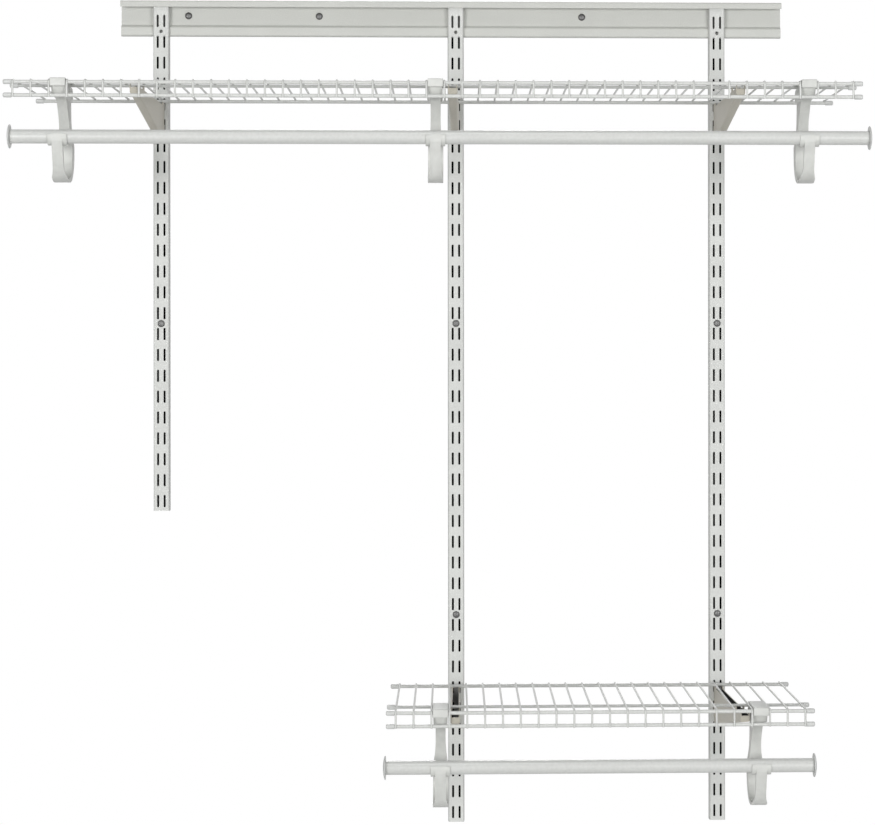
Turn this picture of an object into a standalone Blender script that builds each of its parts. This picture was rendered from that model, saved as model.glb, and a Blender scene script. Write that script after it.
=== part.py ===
"""White wire closet kit for a wall: hang rail, slotted uprights, brackets, wire shelves, hooks and rods.

Lengths are in metres. The wall is the plane y = 0 and the kit stands out from it towards -Y, with +X to
the right and +Z up. The origin is on the wall, behind the middle of the hang rail.
"""

import math

import bmesh
import bpy
from mathutils import Matrix, Vector

# Gaps and cuts
FIT_GAP = 0.0003
CUT_OVERRUN = 0.002
MERGE_DISTANCE = 0.000001

# Roundness of bends, arcs and turned pieces
BEND_STEP_DEGREES = 45
WIRE_BEND_STEP_DEGREES = 90
ARC_STEP_DEGREES = 22.5
WIRE_SIDES = 8
HOLE_SIDES = 8
SCREW_SIDES = 8
ROD_SIDES = 16
SHARP_DEGREES = 40

# Hang rail: a lip over a recess on the wall, and a band below that the uprights hang on
RAIL_LENGTH = 1.016
RAIL_SHEET = 0.0016
RAIL_BEND = 0.0012
RAIL_ABOVE = 0.027
RAIL_BELOW = 0.0264
RAIL_DEPTH = 0.020
RAIL_LIP_DROP = 0.0096
RAIL_STEP_BELOW = 0.0087
RAIL_STEP_DROP = 0.0038
RAIL_BAND_DEPTH = 0.0076
RAIL_SCREW_HEIGHT = 0.0056
RAIL_SCREW_LEFT = -0.4054
RAIL_SCREW_INNER = -0.205
RAIL_SCREW_RIGHT = 0.1999

# Uprights: slotted channels, open towards the wall
UPRIGHT_LEFT_X = -0.4463
UPRIGHT_CENTER_X = 0.0051
UPRIGHT_RIGHT_X = 0.4082
UPRIGHT_SHEET = 0.0016
UPRIGHT_BEND = 0.0008
UPRIGHT_DEPTH = 0.016
UPRIGHT_FRONT_WIDTH = 0.0236
UPRIGHT_BACK_WIDTH = 0.025
UPRIGHT_TOP = 0.022
UPRIGHT_TAIL = 0.015
SHORT_UPRIGHT_SLOTS = 24
LONG_UPRIGHT_SLOTS = 39

# Slots: two columns, and the round screw holes midway between slots
SLOT_PITCH = 0.032
SLOT_HEIGHT = 0.019
SLOT_WIDTH = 0.0032
SLOT_COLUMN_SPACING = 0.010
FIRST_SLOT_BELOW = 0.004
SCREW_HOLE = 0.0055
TOP_HOLE_SHARE = 0.5
MIDDLE_SCREW_SHARE = 14.5
LOWER_SCREW_SHARE = 28.5

# Screws: pan heads whose shanks are drawn as far as the wall
SCREW_HEAD = 0.0108
SCREW_HEAD_HEIGHT = 0.0034
SCREW_CROWN = 0.0068
SCREW_RIM = 0.0018
SCREW_SHANK = 0.0045

# Wire shelves: four long wires under a row of cross wires that bend down into a lip
CROSS_PITCH = 0.0254
CROSS_WIRE = 0.003
LONG_WIRE = 0.0054
SECOND_WIRE = 0.0046
WELD_DEPTH = 0.001
SHELF_DEPTH = 0.3048
BACK_WIRE_SPACE = 0.0122
SECOND_SETBACK = 0.062
LIP_DROP = 0.0189
CROSS_TAIL = 0.0012
LONG_WIRE_TAIL = 0.0127
DECK_ABOVE_SLOT = 0.0034
UPPER_SHELF_X = -0.0243
LOWER_SHELF_X = 0.2107
UPPER_CROSS_WIRES = 48
LOWER_CROSS_WIRES = 24
UPPER_BRACKET_SLOT = 4
LOWER_BRACKET_SLOT = 32

# Plastic tips on the long wires' ends
TIP_DIAMETER = 0.008
TIP_LENGTH = 0.013
TIP_FLOOR = 0.002
TIP_END_DIAMETER = 0.0052
TIP_DOME = 0.0016

# Brackets: folded channels, open on top, with lugs that hook behind the slots. Their play in the slots lets
# each one stand a little askew, turned by these degrees
UPPER_BRACKET_TURNS = {"left": -0.75, "center": -1.05, "right": 0.6}
LOWER_BRACKET_TURNS = {"center": -0.35, "right": 1.1}
BRACKET_SHEET = 0.0014
BRACKET_REAR_DROP = 0.062
BRACKET_TOP_DROP = 0.006
BRACKET_NOSE_WALL_DROP = 0.007
BRACKET_BEND = 0.001
SEAT_HORN = 0.0027
SEAT_RAMP = 0.0025
LUG_NECK = 0.010
LUG_HOOK = 0.007
LUG_DEPTH = 0.004

# Closet rods and their flanged end caps
ROD_DIAMETER = 0.020
ROD_WALL = 0.0012
ROD_DROP = 0.0775
UPPER_ROD_SHIFT = 0.0094
LOWER_ROD_SHIFT = -0.0011
CAP_FLANGE = 0.034
CAP_FLANGE_THICK = 0.0042
CAP_RIM = 0.0016
CAP_CROWN = 0.022
CAP_PLUG = 0.018

# Rod hooks: a saddle on the deck, a spine through it, a loop and a cradle for the rod
HOOK_INSET_WIRES = 3
SADDLE_REACH = 0.0665
SADDLE_THICK = 0.0045
SADDLE_LIP = 0.004
SADDLE_LIP_DROP = 0.0035
SPINE_WIDTH = 0.0154
SPINE_START = 0.0065
LOOP_WIDTH = 0.022
LOOP_BACK = 0.089
LOOP_BACK_THICK = 0.0235
LOOP_BOTTOM = 0.061
LOOP_FLOOR = 0.013
LOOP_TOP = 0.012
LOOP_RADIUS = 0.043
LOOP_INNER_RADIUS = 0.034
TOE_REACH = 0.0128
TOE_RADIUS = 0.0145
TOE_INNER_REACH = 0.019
TOE_INNER_RADIUS = 0.006
ARM_WIDTH = 0.0152
ARM_FOOT = 0.040
ARM_LIP_RISE = 0.0035
CRADLE_WIDTH = 0.028
CRADLE_WALL = 0.0026
CRADLE_START_DEGREES = 165
CRADLE_END_DEGREES = 300
ARM_END_DEGREES = 270

# Outline corners as (back, down) shares of the loop's back and of the drop to the rod
SPINE_FRONT_SHARES = ((0.36, 0.13), (0.47, 0.285), (0.742, 0.742))
SPINE_REAR_SHARES = ((0.966, 0.774), (0.933, 0.284), (0.9, 0.103), (0.86, 0.045))

# Outline corners as (back, up) shares of the arm's foot depth
ARM_FRONT_SHARES = ((-0.04, -1.03), (-0.2, -0.45), (-0.32, -0.17))
ARM_REAR_SHARES = ((0.06, -0.4), (0.1, -0.75), (0.25, -1.03))
LOOP_END_SHARES = ((-0.085, -0.985), (0.225, -0.95))

# Values worked out from the sizes above
HALF_FLAT_SHARE = math.tan(math.pi / WIRE_SIDES)
CORNER_SHARE = 1 / math.cos(math.pi / WIRE_SIDES)
FACE_Y = -UPRIGHT_DEPTH
FRONT_EDGE = BACK_WIRE_SPACE + SHELF_DEPTH
SECOND_EDGE = FRONT_EDGE - SECOND_SETBACK
SECOND_RISE = (LONG_WIRE - SECOND_WIRE) / 2
ROD_Y = FACE_Y - FRONT_EDGE
SADDLE_WIDTH = CROSS_PITCH - CROSS_WIRE - 2 * FIT_GAP
BRACKET_NOSE = FRONT_EDGE - LONG_WIRE / 2 - FIT_GAP
BRACKET_NOSE_DROP = LIP_DROP - LONG_WIRE / 2 - 2 * FIT_GAP
BRACKET_HALF = (SLOT_COLUMN_SPACING + SLOT_WIDTH) / 2 - FIT_GAP


def slot_height(step):
    """Height of a slot's centre, or of a place between slots, counted in pitches from the top slot."""
    return -FIRST_SLOT_BELOW - step * SLOT_PITCH


def deck_height(slot):
    """Height of a shelf's long wires when its brackets hook into this slot."""
    return slot_height(slot) + DECK_ABOVE_SLOT


def side_view(depth, height, across):
    """A point drawn from the side: out from the wall, up, and along the wall."""
    return Vector((across, -depth, height))


def hook_view(back, height, across):
    """A point drawn from the side of a hook: back towards the wall, up, and along the wall."""
    return Vector((across, back, height))


def plan_view(across, depth, height):
    """A point drawn from above: along the wall, out from it, and up."""
    return Vector((across, -depth, height))


def front_view(across, height, depth):
    """A point drawn from the front: along the wall, up, and out from it."""
    return Vector((across, -depth, height))


def polygon(sides, inradius, middle=(0, 0)):
    """A regular outline with a flat on each side of its middle."""
    radius = inradius / math.cos(math.pi / sides)
    turns = [2 * math.pi * (step + 0.5) / sides for step in range(sides)]
    return [(middle[0] + radius * math.cos(turn), middle[1] + radius * math.sin(turn)) for turn in turns]


def arc(radius, start, end, middle=(0, 0)):
    """Points along an arc, with its angles in degrees."""
    steps = max(1, math.ceil(abs(end - start) / ARC_STEP_DEGREES))
    turns = [math.radians(start + (end - start) * step / steps) for step in range(steps + 1)]
    return [(middle[0] + radius * math.cos(turn), middle[1] + radius * math.sin(turn)) for turn in turns]


def fillet(before, corner, after, radius):
    """The arc that rounds one corner of an outline."""
    corner = Vector(corner)
    incoming = (corner - Vector(before)).normalized()
    outgoing = (Vector(after) - corner).normalized()
    turn = incoming.angle_signed(outgoing)
    reach = radius * math.tan(abs(turn) / 2)
    side = Vector((incoming.y, -incoming.x)) * math.copysign(radius, turn)
    centre = corner - incoming * reach + side
    start = math.degrees(math.atan2(-side.y, -side.x))
    return arc(radius, start, start - math.degrees(turn), centre)


def rounded(corners):
    """A closed outline through (first, second, radius) corners, rounded where the radius isn't zero."""
    outline = []
    for index, (first, second, radius) in enumerate(corners):
        if radius:
            before = corners[index - 1][:2]
            after = corners[(index + 1) % len(corners)][:2]
            outline += fillet(before, (first, second), after, radius)
        else:
            outline.append((first, second))
    return outline


def folded(face, sheet, bend, step_degrees=BEND_STEP_DEGREES):
    """The closed outline of a folded sheet. The face is one side of it, with the metal on its right."""
    face = [Vector(point) for point in face]
    ways = [(after - before).normalized() for before, after in zip(face, face[1:])]
    normals = [Vector((way.y, -way.x)) for way in ways]
    near = [face[0]]
    far = [face[0] + normals[0] * sheet]
    for corner, incoming, outgoing, normal in zip(face[1:], ways, ways[1:], normals):
        turn = incoming.angle_signed(outgoing)
        near_radius = bend + sheet if turn > 0 else -bend
        reach = abs(near_radius) * math.tan(abs(turn) / 2)
        centre = corner - incoming * reach + normal * near_radius
        steps = max(1, math.ceil(math.degrees(abs(turn)) / step_degrees))
        for step in range(steps + 1):
            angle = -turn * step / steps
            spoke = Vector((
                normal.x * math.cos(angle) - normal.y * math.sin(angle),
                normal.x * math.sin(angle) + normal.y * math.cos(angle),
            ))
            far.append(centre - spoke * (near_radius - sheet))
            if near_radius or not step:
                near.append(centre - spoke * near_radius)
    near.append(face[-1])
    far.append(face[-1] + normals[-1] * sheet)
    return [tuple(point) for point in near + far[::-1]]


def add_prism(shape, outline, low, high, view):
    """Extrude a closed outline from low to high, square to the view it is drawn in."""
    face = shape.faces.new([shape.verts.new(view(first, second, low)) for first, second in outline])
    grown = bmesh.ops.extrude_face_region(shape, geom=[face])["geom"]
    moved = [item for item in grown if isinstance(item, bmesh.types.BMVert)]
    bmesh.ops.translate(shape, verts=moved, vec=view(0, 0, high) - view(0, 0, low))


def add_turned(shape, profile, axis, spoke, sides):
    """Turn a profile of (along, radius) points about an axis, with a flat side facing the spoke.

    A profile that doesn't start on the axis is closed into a ring.
    """
    spoke = Matrix.Rotation(math.pi / sides, 3, axis) @ spoke
    corners = [shape.verts.new(axis * along + spoke * radius) for along, radius in profile]
    edges = [shape.edges.new(pair) for pair in zip(corners, corners[1:])]
    if profile[0][1]:
        edges.append(shape.edges.new((corners[-1], corners[0])))
    bmesh.ops.spin(
        shape, geom=corners + edges, cent=Vector(), axis=axis, angle=2 * math.pi, steps=sides, use_merge=True
    )
    bmesh.ops.remove_doubles(shape, verts=shape.verts, dist=MERGE_DISTANCE)


def solid(name, shape):
    """Turn a mesh in work into an object whose faces point out."""
    bmesh.ops.recalc_face_normals(shape, faces=shape.faces)
    mesh = bpy.data.meshes.new(name)
    shape.to_mesh(mesh)
    shape.free()
    body = bpy.data.objects.new(name, mesh)
    bpy.context.collection.objects.link(body)
    return body


def combine(body, tool, operation):
    """Join a tool to a body, or cut it away, and remove the tool."""
    step = body.modifiers.new(tool.name, "BOOLEAN")
    step.operation = operation
    step.solver = "EXACT"
    step.object = tool
    graph = bpy.context.evaluated_depsgraph_get()
    mesh = bpy.data.meshes.new_from_object(body.evaluated_get(graph))
    body.modifiers.remove(step)
    body.data = mesh
    bpy.data.objects.remove(tool)


def finished(body, material):
    """Shade the body's mesh, give it its material, and hand it over without the object."""
    mesh = body.data
    mesh.shade_smooth()
    mesh.set_sharp_from_angle(angle=math.radians(SHARP_DEGREES))
    mesh.materials.clear()
    mesh.materials.append(material)
    bpy.data.objects.remove(body)
    return mesh


def place(name, mesh, where, parent=None, turn=0):
    """Put a piece with this mesh at a place measured from its parent, turned about the upright axis."""
    piece = bpy.data.objects.new(name, mesh)
    piece.location = where
    piece.rotation_euler.z = turn
    piece.parent = parent
    bpy.context.collection.objects.link(piece)
    return piece


def surface(name, colour, roughness, metallic=0.0):
    """A Principled material."""
    material = bpy.data.materials.new(name)
    material.use_nodes = True
    shader = material.node_tree.nodes["Principled BSDF"]
    shader.inputs["Base Color"].default_value = (*colour, 1.0)
    shader.inputs["Roughness"].default_value = roughness
    shader.inputs["Metallic"].default_value = metallic
    return material


def rail_mesh(material):
    """The hang rail: one folded sheet with a lip, a recess against the wall, a band and a foot."""
    lip_inside = RAIL_DEPTH - RAIL_SHEET
    ledge = RAIL_ABOVE - RAIL_SHEET
    face = [
        (lip_inside, RAIL_ABOVE - RAIL_LIP_DROP),
        (lip_inside, ledge),
        (RAIL_SHEET, ledge),
        (RAIL_SHEET, -RAIL_STEP_BELOW),
        (RAIL_BAND_DEPTH, -RAIL_STEP_BELOW - RAIL_STEP_DROP),
        (RAIL_BAND_DEPTH, -RAIL_BELOW),
        (0, -RAIL_BELOW),
    ]
    shape = bmesh.new()
    add_prism(shape, folded(face, RAIL_SHEET, RAIL_BEND), -RAIL_LENGTH / 2, RAIL_LENGTH / 2, side_view)
    rail = solid("rail", shape)
    holes = bmesh.new()
    for across in (RAIL_SCREW_LEFT, RAIL_SCREW_INNER, RAIL_SCREW_RIGHT):
        outline = polygon(HOLE_SIDES, SCREW_HOLE / 2, (across, RAIL_SCREW_HEIGHT))
        add_prism(holes, outline, -CUT_OVERRUN, RAIL_SHEET + CUT_OVERRUN, front_view)
    combine(rail, solid("rail_holes", holes), "DIFFERENCE")
    return finished(rail, material)


def rail_notch():
    """Side outline cut from an upright's flanges, so that they clear the rail and rest on its band."""
    band_top = -RAIL_STEP_BELOW - RAIL_STEP_DROP
    return [
        (-CUT_OVERRUN, -RAIL_BELOW - FIT_GAP),
        (RAIL_BAND_DEPTH + FIT_GAP, -RAIL_BELOW - FIT_GAP),
        (RAIL_BAND_DEPTH + FIT_GAP, band_top + FIT_GAP),
        (RAIL_SHEET + FIT_GAP, -RAIL_STEP_BELOW + FIT_GAP),
        (RAIL_SHEET + FIT_GAP, UPRIGHT_TOP + CUT_OVERRUN),
        (-CUT_OVERRUN, UPRIGHT_TOP + CUT_OVERRUN),
    ]


def upright_mesh(slots, screw_shares, material):
    """A slotted upright: a tapered channel, its two columns of slots, its round holes and its rail notch."""
    back = UPRIGHT_BACK_WIDTH / 2
    front = UPRIGHT_FRONT_WIDTH / 2
    rim = UPRIGHT_SHEET * (back - front) / UPRIGHT_DEPTH
    face = [(-back, rim), (-front, UPRIGHT_DEPTH), (front, UPRIGHT_DEPTH), (back, rim)]
    bottom = slot_height(slots - 1) - UPRIGHT_TAIL
    shape = bmesh.new()
    add_prism(shape, folded(face, UPRIGHT_SHEET, UPRIGHT_BEND), bottom, UPRIGHT_TOP, plan_view)
    upright = solid("upright", shape)

    notch = bmesh.new()
    side = back + CUT_OVERRUN
    add_prism(notch, rail_notch(), -side, side, side_view)
    combine(upright, solid("rail_notch", notch), "DIFFERENCE")

    openings = bmesh.new()
    behind = UPRIGHT_DEPTH - UPRIGHT_SHEET - CUT_OVERRUN
    ahead = UPRIGHT_DEPTH + CUT_OVERRUN
    for slot in range(slots):
        top = slot_height(slot) + SLOT_HEIGHT / 2
        for column in (-SLOT_COLUMN_SPACING / 2, SLOT_COLUMN_SPACING / 2):
            left = column - SLOT_WIDTH / 2
            corners = [(left, top), (left, top - SLOT_HEIGHT)]
            corners += [(left + SLOT_WIDTH, top - SLOT_HEIGHT), (left + SLOT_WIDTH, top)]
            add_prism(openings, corners, behind, ahead, front_view)
    for share in (TOP_HOLE_SHARE, *screw_shares):
        hole = polygon(HOLE_SIDES, SCREW_HOLE / 2, (0, slot_height(share)))
        add_prism(openings, hole, behind, ahead, front_view)
    combine(upright, solid("upright_openings", openings), "DIFFERENCE")
    return finished(upright, material)


def screw_mesh(grip, material):
    """A pan head screw whose shank passes through what it holds and ends at the wall."""
    top = FIT_GAP + SCREW_HEAD_HEIGHT
    profile = [
        (top, 0),
        (top, SCREW_CROWN / 2),
        (FIT_GAP + SCREW_RIM, SCREW_HEAD / 2),
        (FIT_GAP, SCREW_HEAD / 2),
        (FIT_GAP, SCREW_SHANK / 2),
        (-grip, SCREW_SHANK / 2),
        (-grip, 0),
    ]
    shape = bmesh.new()
    add_turned(shape, profile, Vector((0, -1, 0)), Vector((0, 0, 1)), SCREW_SIDES)
    return finished(solid("screw", shape), material)


def seat(middle, height, wire):
    """Corners of a raised notch for an eight-sided wire, from the ramp behind it to the one ahead."""
    reach = wire / 2 + FIT_GAP
    flat = reach * HALF_FLAT_SHARE
    horn = height - flat
    return [
        (middle - reach - SEAT_HORN - SEAT_RAMP, -BRACKET_TOP_DROP),
        (middle - reach - SEAT_HORN, horn),
        (middle - reach, horn),
        (middle - flat, height - reach),
        (middle + flat, height - reach),
        (middle + reach, horn),
        (middle + reach + SEAT_HORN, horn),
        (middle + reach + SEAT_HORN + SEAT_RAMP, -BRACKET_TOP_DROP),
    ]


def lug(slots_down):
    """Corners of the lug that hooks behind a slot, from under its neck round to the top of it."""
    neck = -DECK_ABOVE_SLOT - slots_down * SLOT_PITCH - SLOT_HEIGHT / 2 + FIT_GAP
    behind = -UPRIGHT_SHEET - FIT_GAP
    return [
        (FIT_GAP, neck),
        (behind, neck),
        (behind, neck - LUG_HOOK),
        (behind - LUG_DEPTH, neck - LUG_HOOK),
        (behind - LUG_DEPTH, neck + LUG_NECK),
        (FIT_GAP, neck + LUG_NECK),
    ]


def bracket_mesh(material):
    """A shelf bracket, measured from the upright's face and the deck's long wires."""
    foot = (FIT_GAP, -BRACKET_REAR_DROP)
    toe = (BRACKET_NOSE, -BRACKET_NOSE_DROP)
    back_seat = seat(BACK_WIRE_SPACE, 0, LONG_WIRE)
    front_seat = seat(FRONT_EDGE, 0, LONG_WIRE)
    outline = [foot, *lug(1), *lug(0)]
    outline += [(FIT_GAP, back_seat[2][1]), *back_seat[2:]]
    outline += seat(SECOND_EDGE, SECOND_RISE, SECOND_WIRE)
    outline += [*front_seat[:3], toe]
    shape = bmesh.new()
    add_prism(shape, outline, -BRACKET_HALF, BRACKET_HALF, side_view)
    sides = (-BRACKET_HALF, BRACKET_HALF)
    underside = [side_view(*corner, across) for corner in (foot, toe) for across in sides]
    folds = [
        edge for edge in shape.edges
        if all(min((vert.co - point).length for point in underside) < MERGE_DISTANCE for vert in edge.verts)
        and edge.calc_length() > 2 * BRACKET_HALF + CUT_OVERRUN
    ]
    bmesh.ops.bevel(shape, geom=folds, offset=BRACKET_BEND, segments=1, affect="EDGES")
    bracket = solid("bracket", shape)

    rear = -UPRIGHT_SHEET - FIT_GAP - LUG_DEPTH - CUT_OVERRUN
    floor = -BRACKET_REAR_DROP + BRACKET_SHEET
    wall = BRACKET_NOSE - BRACKET_SHEET
    hollow = [
        (rear, CUT_OVERRUN),
        (rear, floor),
        (FIT_GAP, floor),
        (wall, -BRACKET_NOSE_DROP + BRACKET_SHEET),
        (wall, -BRACKET_NOSE_WALL_DROP),
        (BRACKET_NOSE + CUT_OVERRUN, -BRACKET_NOSE_WALL_DROP),
        (BRACKET_NOSE + CUT_OVERRUN, CUT_OVERRUN),
    ]
    inside = BRACKET_HALF - BRACKET_SHEET
    tool = bmesh.new()
    add_prism(tool, hollow, -inside, inside, side_view)
    combine(bracket, solid("bracket_hollow", tool), "DIFFERENCE")
    return finished(bracket, material)


def shelf_long_wires():
    """The four long wires as (name, back from the front edge, height over the deck's centre, diameter)."""
    return (
        ("front", 0, 0, LONG_WIRE),
        ("lip", 0, -LIP_DROP, LONG_WIRE),
        ("second", SECOND_SETBACK, SECOND_RISE, SECOND_WIRE),
        ("back", SHELF_DEPTH, 0, LONG_WIRE),
    )


def long_wire_half(cross_wires):
    """Half the length of a shelf's long wires."""
    return (cross_wires - 1) * CROSS_PITCH / 2 + LONG_WIRE_TAIL


def shelf_mesh(cross_wires, material):
    """A wire shelf, measured from the middle of its front edge wire."""
    half = long_wire_half(cross_wires)
    long_wires = bmesh.new()
    for _, back, height, wire in shelf_long_wires():
        add_prism(long_wires, polygon(WIRE_SIDES, wire / 2, (back, height)), -half, half, hook_view)
    shelf = solid("long_wires", long_wires)

    inner = LONG_WIRE / 2 - WELD_DEPTH
    ends = LONG_WIRE / 2 + CROSS_TAIL
    face = [(SHELF_DEPTH + ends, inner), (-inner, inner), (-inner, -LIP_DROP - ends)]
    outline = folded(face, CROSS_WIRE, 0, WIRE_BEND_STEP_DEGREES)
    cross = bmesh.new()
    for number in range(cross_wires):
        left = (number - (cross_wires - 1) / 2) * CROSS_PITCH - CROSS_WIRE / 2
        add_prism(cross, outline, left, left + CROSS_WIRE, hook_view)
    combine(shelf, solid("cross_wires", cross), "UNION")
    return finished(shelf, material)


def tip_mesh(wire, material):
    """A soft tip on a long wire's end, measured from that end."""
    end = FIT_GAP + TIP_FLOOR
    mouth = end - TIP_LENGTH
    bore = wire / 2 + FIT_GAP
    profile = [
        (FIT_GAP, 0),
        (FIT_GAP, bore * CORNER_SHARE),
        (mouth, bore * CORNER_SHARE),
        (mouth, TIP_DIAMETER / 2 * CORNER_SHARE),
        (end - TIP_DOME, TIP_DIAMETER / 2 * CORNER_SHARE),
        (end, TIP_END_DIAMETER / 2 * CORNER_SHARE),
        (end, 0),
    ]
    shape = bmesh.new()
    add_turned(shape, profile, Vector((1, 0, 0)), Vector((0, 0, 1)), WIRE_SIDES)
    return finished(solid("tip", shape), material)


def rod_mesh(length, material):
    """A closet rod: a round tube, measured from its middle."""
    outside = ROD_DIAMETER / 2
    inside = outside - ROD_WALL
    profile = [(-length / 2, outside), (length / 2, outside), (length / 2, inside), (-length / 2, inside)]
    shape = bmesh.new()
    add_turned(shape, profile, Vector((1, 0, 0)), Vector((0, 0, 1)), ROD_SIDES)
    return finished(solid("rod", shape), material)


def rod_cap_mesh(material):
    """A rod's end cap: a plug with a domed flange, measured from the tube's end."""
    plug = ROD_DIAMETER / 2 - ROD_WALL - FIT_GAP
    crown = FIT_GAP + CAP_FLANGE_THICK
    profile = [
        (-CAP_PLUG, 0),
        (-CAP_PLUG, plug),
        (FIT_GAP, plug),
        (FIT_GAP, CAP_FLANGE / 2),
        (FIT_GAP + CAP_RIM, CAP_FLANGE / 2),
        (crown, CAP_CROWN / 2),
        (crown, 0),
    ]
    shape = bmesh.new()
    add_turned(shape, profile, Vector((1, 0, 0)), Vector((0, 0, 1)), ROD_SIDES)
    return finished(solid("rod_cap", shape), material)


def saddle_outline():
    """Side outline of a hook's saddle, which lies on the front wires and laps over the front edge."""
    under = LONG_WIRE / 2 + FIT_GAP
    top = ROD_DROP + under + SADDLE_THICK
    front = -under - SADDLE_LIP
    lip = ROD_DROP - SADDLE_LIP_DROP
    return [
        (front, top),
        (SADDLE_REACH, top),
        (SADDLE_REACH, ROD_DROP + under),
        (-under, ROD_DROP + under),
        (-under, lip),
        (front, lip),
    ]


def spine_outline():
    """Side outline of a hook's spine, from inside the saddle to inside the loop, notched for a wire."""
    inside_saddle = ROD_DROP + LONG_WIRE / 2 + FIT_GAP + SADDLE_THICK / 2
    wire_reach = SECOND_WIRE / 2 + FIT_GAP
    notch = SECOND_SETBACK - wire_reach
    notch_floor = ROD_DROP + SECOND_RISE - wire_reach
    front = [(back * LOOP_BACK, ROD_DROP * (1 - down)) for back, down in SPINE_FRONT_SHARES]
    rear = [(back * LOOP_BACK, ROD_DROP * (1 - down)) for back, down in SPINE_REAR_SHARES]
    outline = [(SPINE_START, inside_saddle), *front, (front[-1][0], 0), (rear[0][0], 0), *rear]
    return outline + [(SADDLE_REACH, notch_floor), (notch, notch_floor), (notch, inside_saddle)]


def loop_outline():
    """Side outline of a hook's loop, down from the spine and forward under the rod."""
    inside = LOOP_BACK - LOOP_BACK_THICK
    floor = LOOP_FLOOR - LOOP_BOTTOM
    front_end, rear_end = [(back * ARM_FOOT, up * ARM_FOOT, 0) for back, up in LOOP_END_SHARES]
    return rounded([
        (LOOP_BACK, LOOP_TOP, 0),
        (LOOP_BACK, -LOOP_BOTTOM, LOOP_RADIUS),
        (TOE_REACH, -LOOP_BOTTOM, TOE_RADIUS),
        front_end,
        rear_end,
        (TOE_INNER_REACH, floor, TOE_INNER_RADIUS),
        (inside, floor, LOOP_INNER_RADIUS),
        (inside, LOOP_TOP, 0),
    ])


def arm_outline():
    """Side outline of a hook's arm, from inside the loop up round the cradle."""
    inside_cradle = ROD_DIAMETER / 2 + FIT_GAP + CRADLE_WALL / 2
    cradle_front = -ROD_DIAMETER / 2 - FIT_GAP - CRADLE_WALL
    front = [(back * ARM_FOOT, up * ARM_FOOT) for back, up in ARM_FRONT_SHARES]
    rear = [(back * ARM_FOOT, up * ARM_FOOT) for back, up in ARM_REAR_SHARES]
    inner = arc(inside_cradle, CRADLE_START_DEGREES, ARM_END_DEGREES)
    return [*front, (cradle_front, ARM_LIP_RISE), *inner, *rear]


def cradle_outline():
    """Side outline of a hook's cradle, a trough under the rod."""
    inside = (ROD_DIAMETER / 2 + FIT_GAP) / math.cos(math.radians(ARC_STEP_DEGREES / 2))
    outer = arc(ROD_DIAMETER / 2 + FIT_GAP + CRADLE_WALL, CRADLE_START_DEGREES, CRADLE_END_DEGREES)
    return outer + arc(inside, CRADLE_END_DEGREES, CRADLE_START_DEGREES)


def hook_mesh(material):
    """A rod hook, measured from the rod's axis: wide saddle, loop and cradle on a narrow spine and arm."""
    wide = bmesh.new()
    for outline, width in (
        (saddle_outline(), SADDLE_WIDTH), (loop_outline(), LOOP_WIDTH), (cradle_outline(), CRADLE_WIDTH)
    ):
        add_prism(wide, outline, -width / 2, width / 2, hook_view)
    narrow = bmesh.new()
    for outline, width in ((spine_outline(), SPINE_WIDTH), (arm_outline(), ARM_WIDTH)):
        add_prism(narrow, outline, -width / 2, width / 2, hook_view)
    hook = solid("hook", wide)
    combine(hook, solid("hook_web", narrow), "UNION")
    return finished(hook, material)


def build_shelf(name, middle, deck, cross_wires, hook_names, rod_shift, meshes, white):
    """A shelf that lifts off its brackets, with its tips and hooks, and the rod that slides in the hooks.

    The rod is as long as the shelf, and the outer hooks sit the same number of wires in from both ends.
    """
    lift = place(f"{name}_shelf_lift", None, Vector((middle, ROD_Y, deck)))
    place(f"shelf_{name}", shelf_mesh(cross_wires, white), Vector(), lift)
    half = long_wire_half(cross_wires)
    for wire_name, back, height, wire in shelf_long_wires():
        tip = meshes["second_tip"] if wire_name == "second" else meshes["tip"]
        place(f"tip_{name}_{wire_name}_right", tip, Vector((half, back, height)), lift)
        place(f"tip_{name}_{wire_name}_left", tip, Vector((-half, back, height)), lift, math.pi)
    outer = cross_wires // 2 - HOOK_INSET_WIRES
    for hook_name, side in hook_names.items():
        where = Vector((side * outer * CROSS_PITCH, 0, -ROD_DROP))
        place(f"hook_{name}_{hook_name}", meshes["hook"], where, lift)
    rod_length = cross_wires * CROSS_PITCH
    slide = place(f"{name}_rod_slide", None, Vector((rod_shift, 0, -ROD_DROP)), lift)
    place(f"rod_{name}", rod_mesh(rod_length, white), Vector(), slide)
    place(f"rod_{name}_cap_right", meshes["rod_cap"], Vector((rod_length / 2, 0, 0)), slide)
    place(f"rod_{name}_cap_left", meshes["rod_cap"], Vector((-rod_length / 2, 0, 0)), slide, math.pi)


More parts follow.
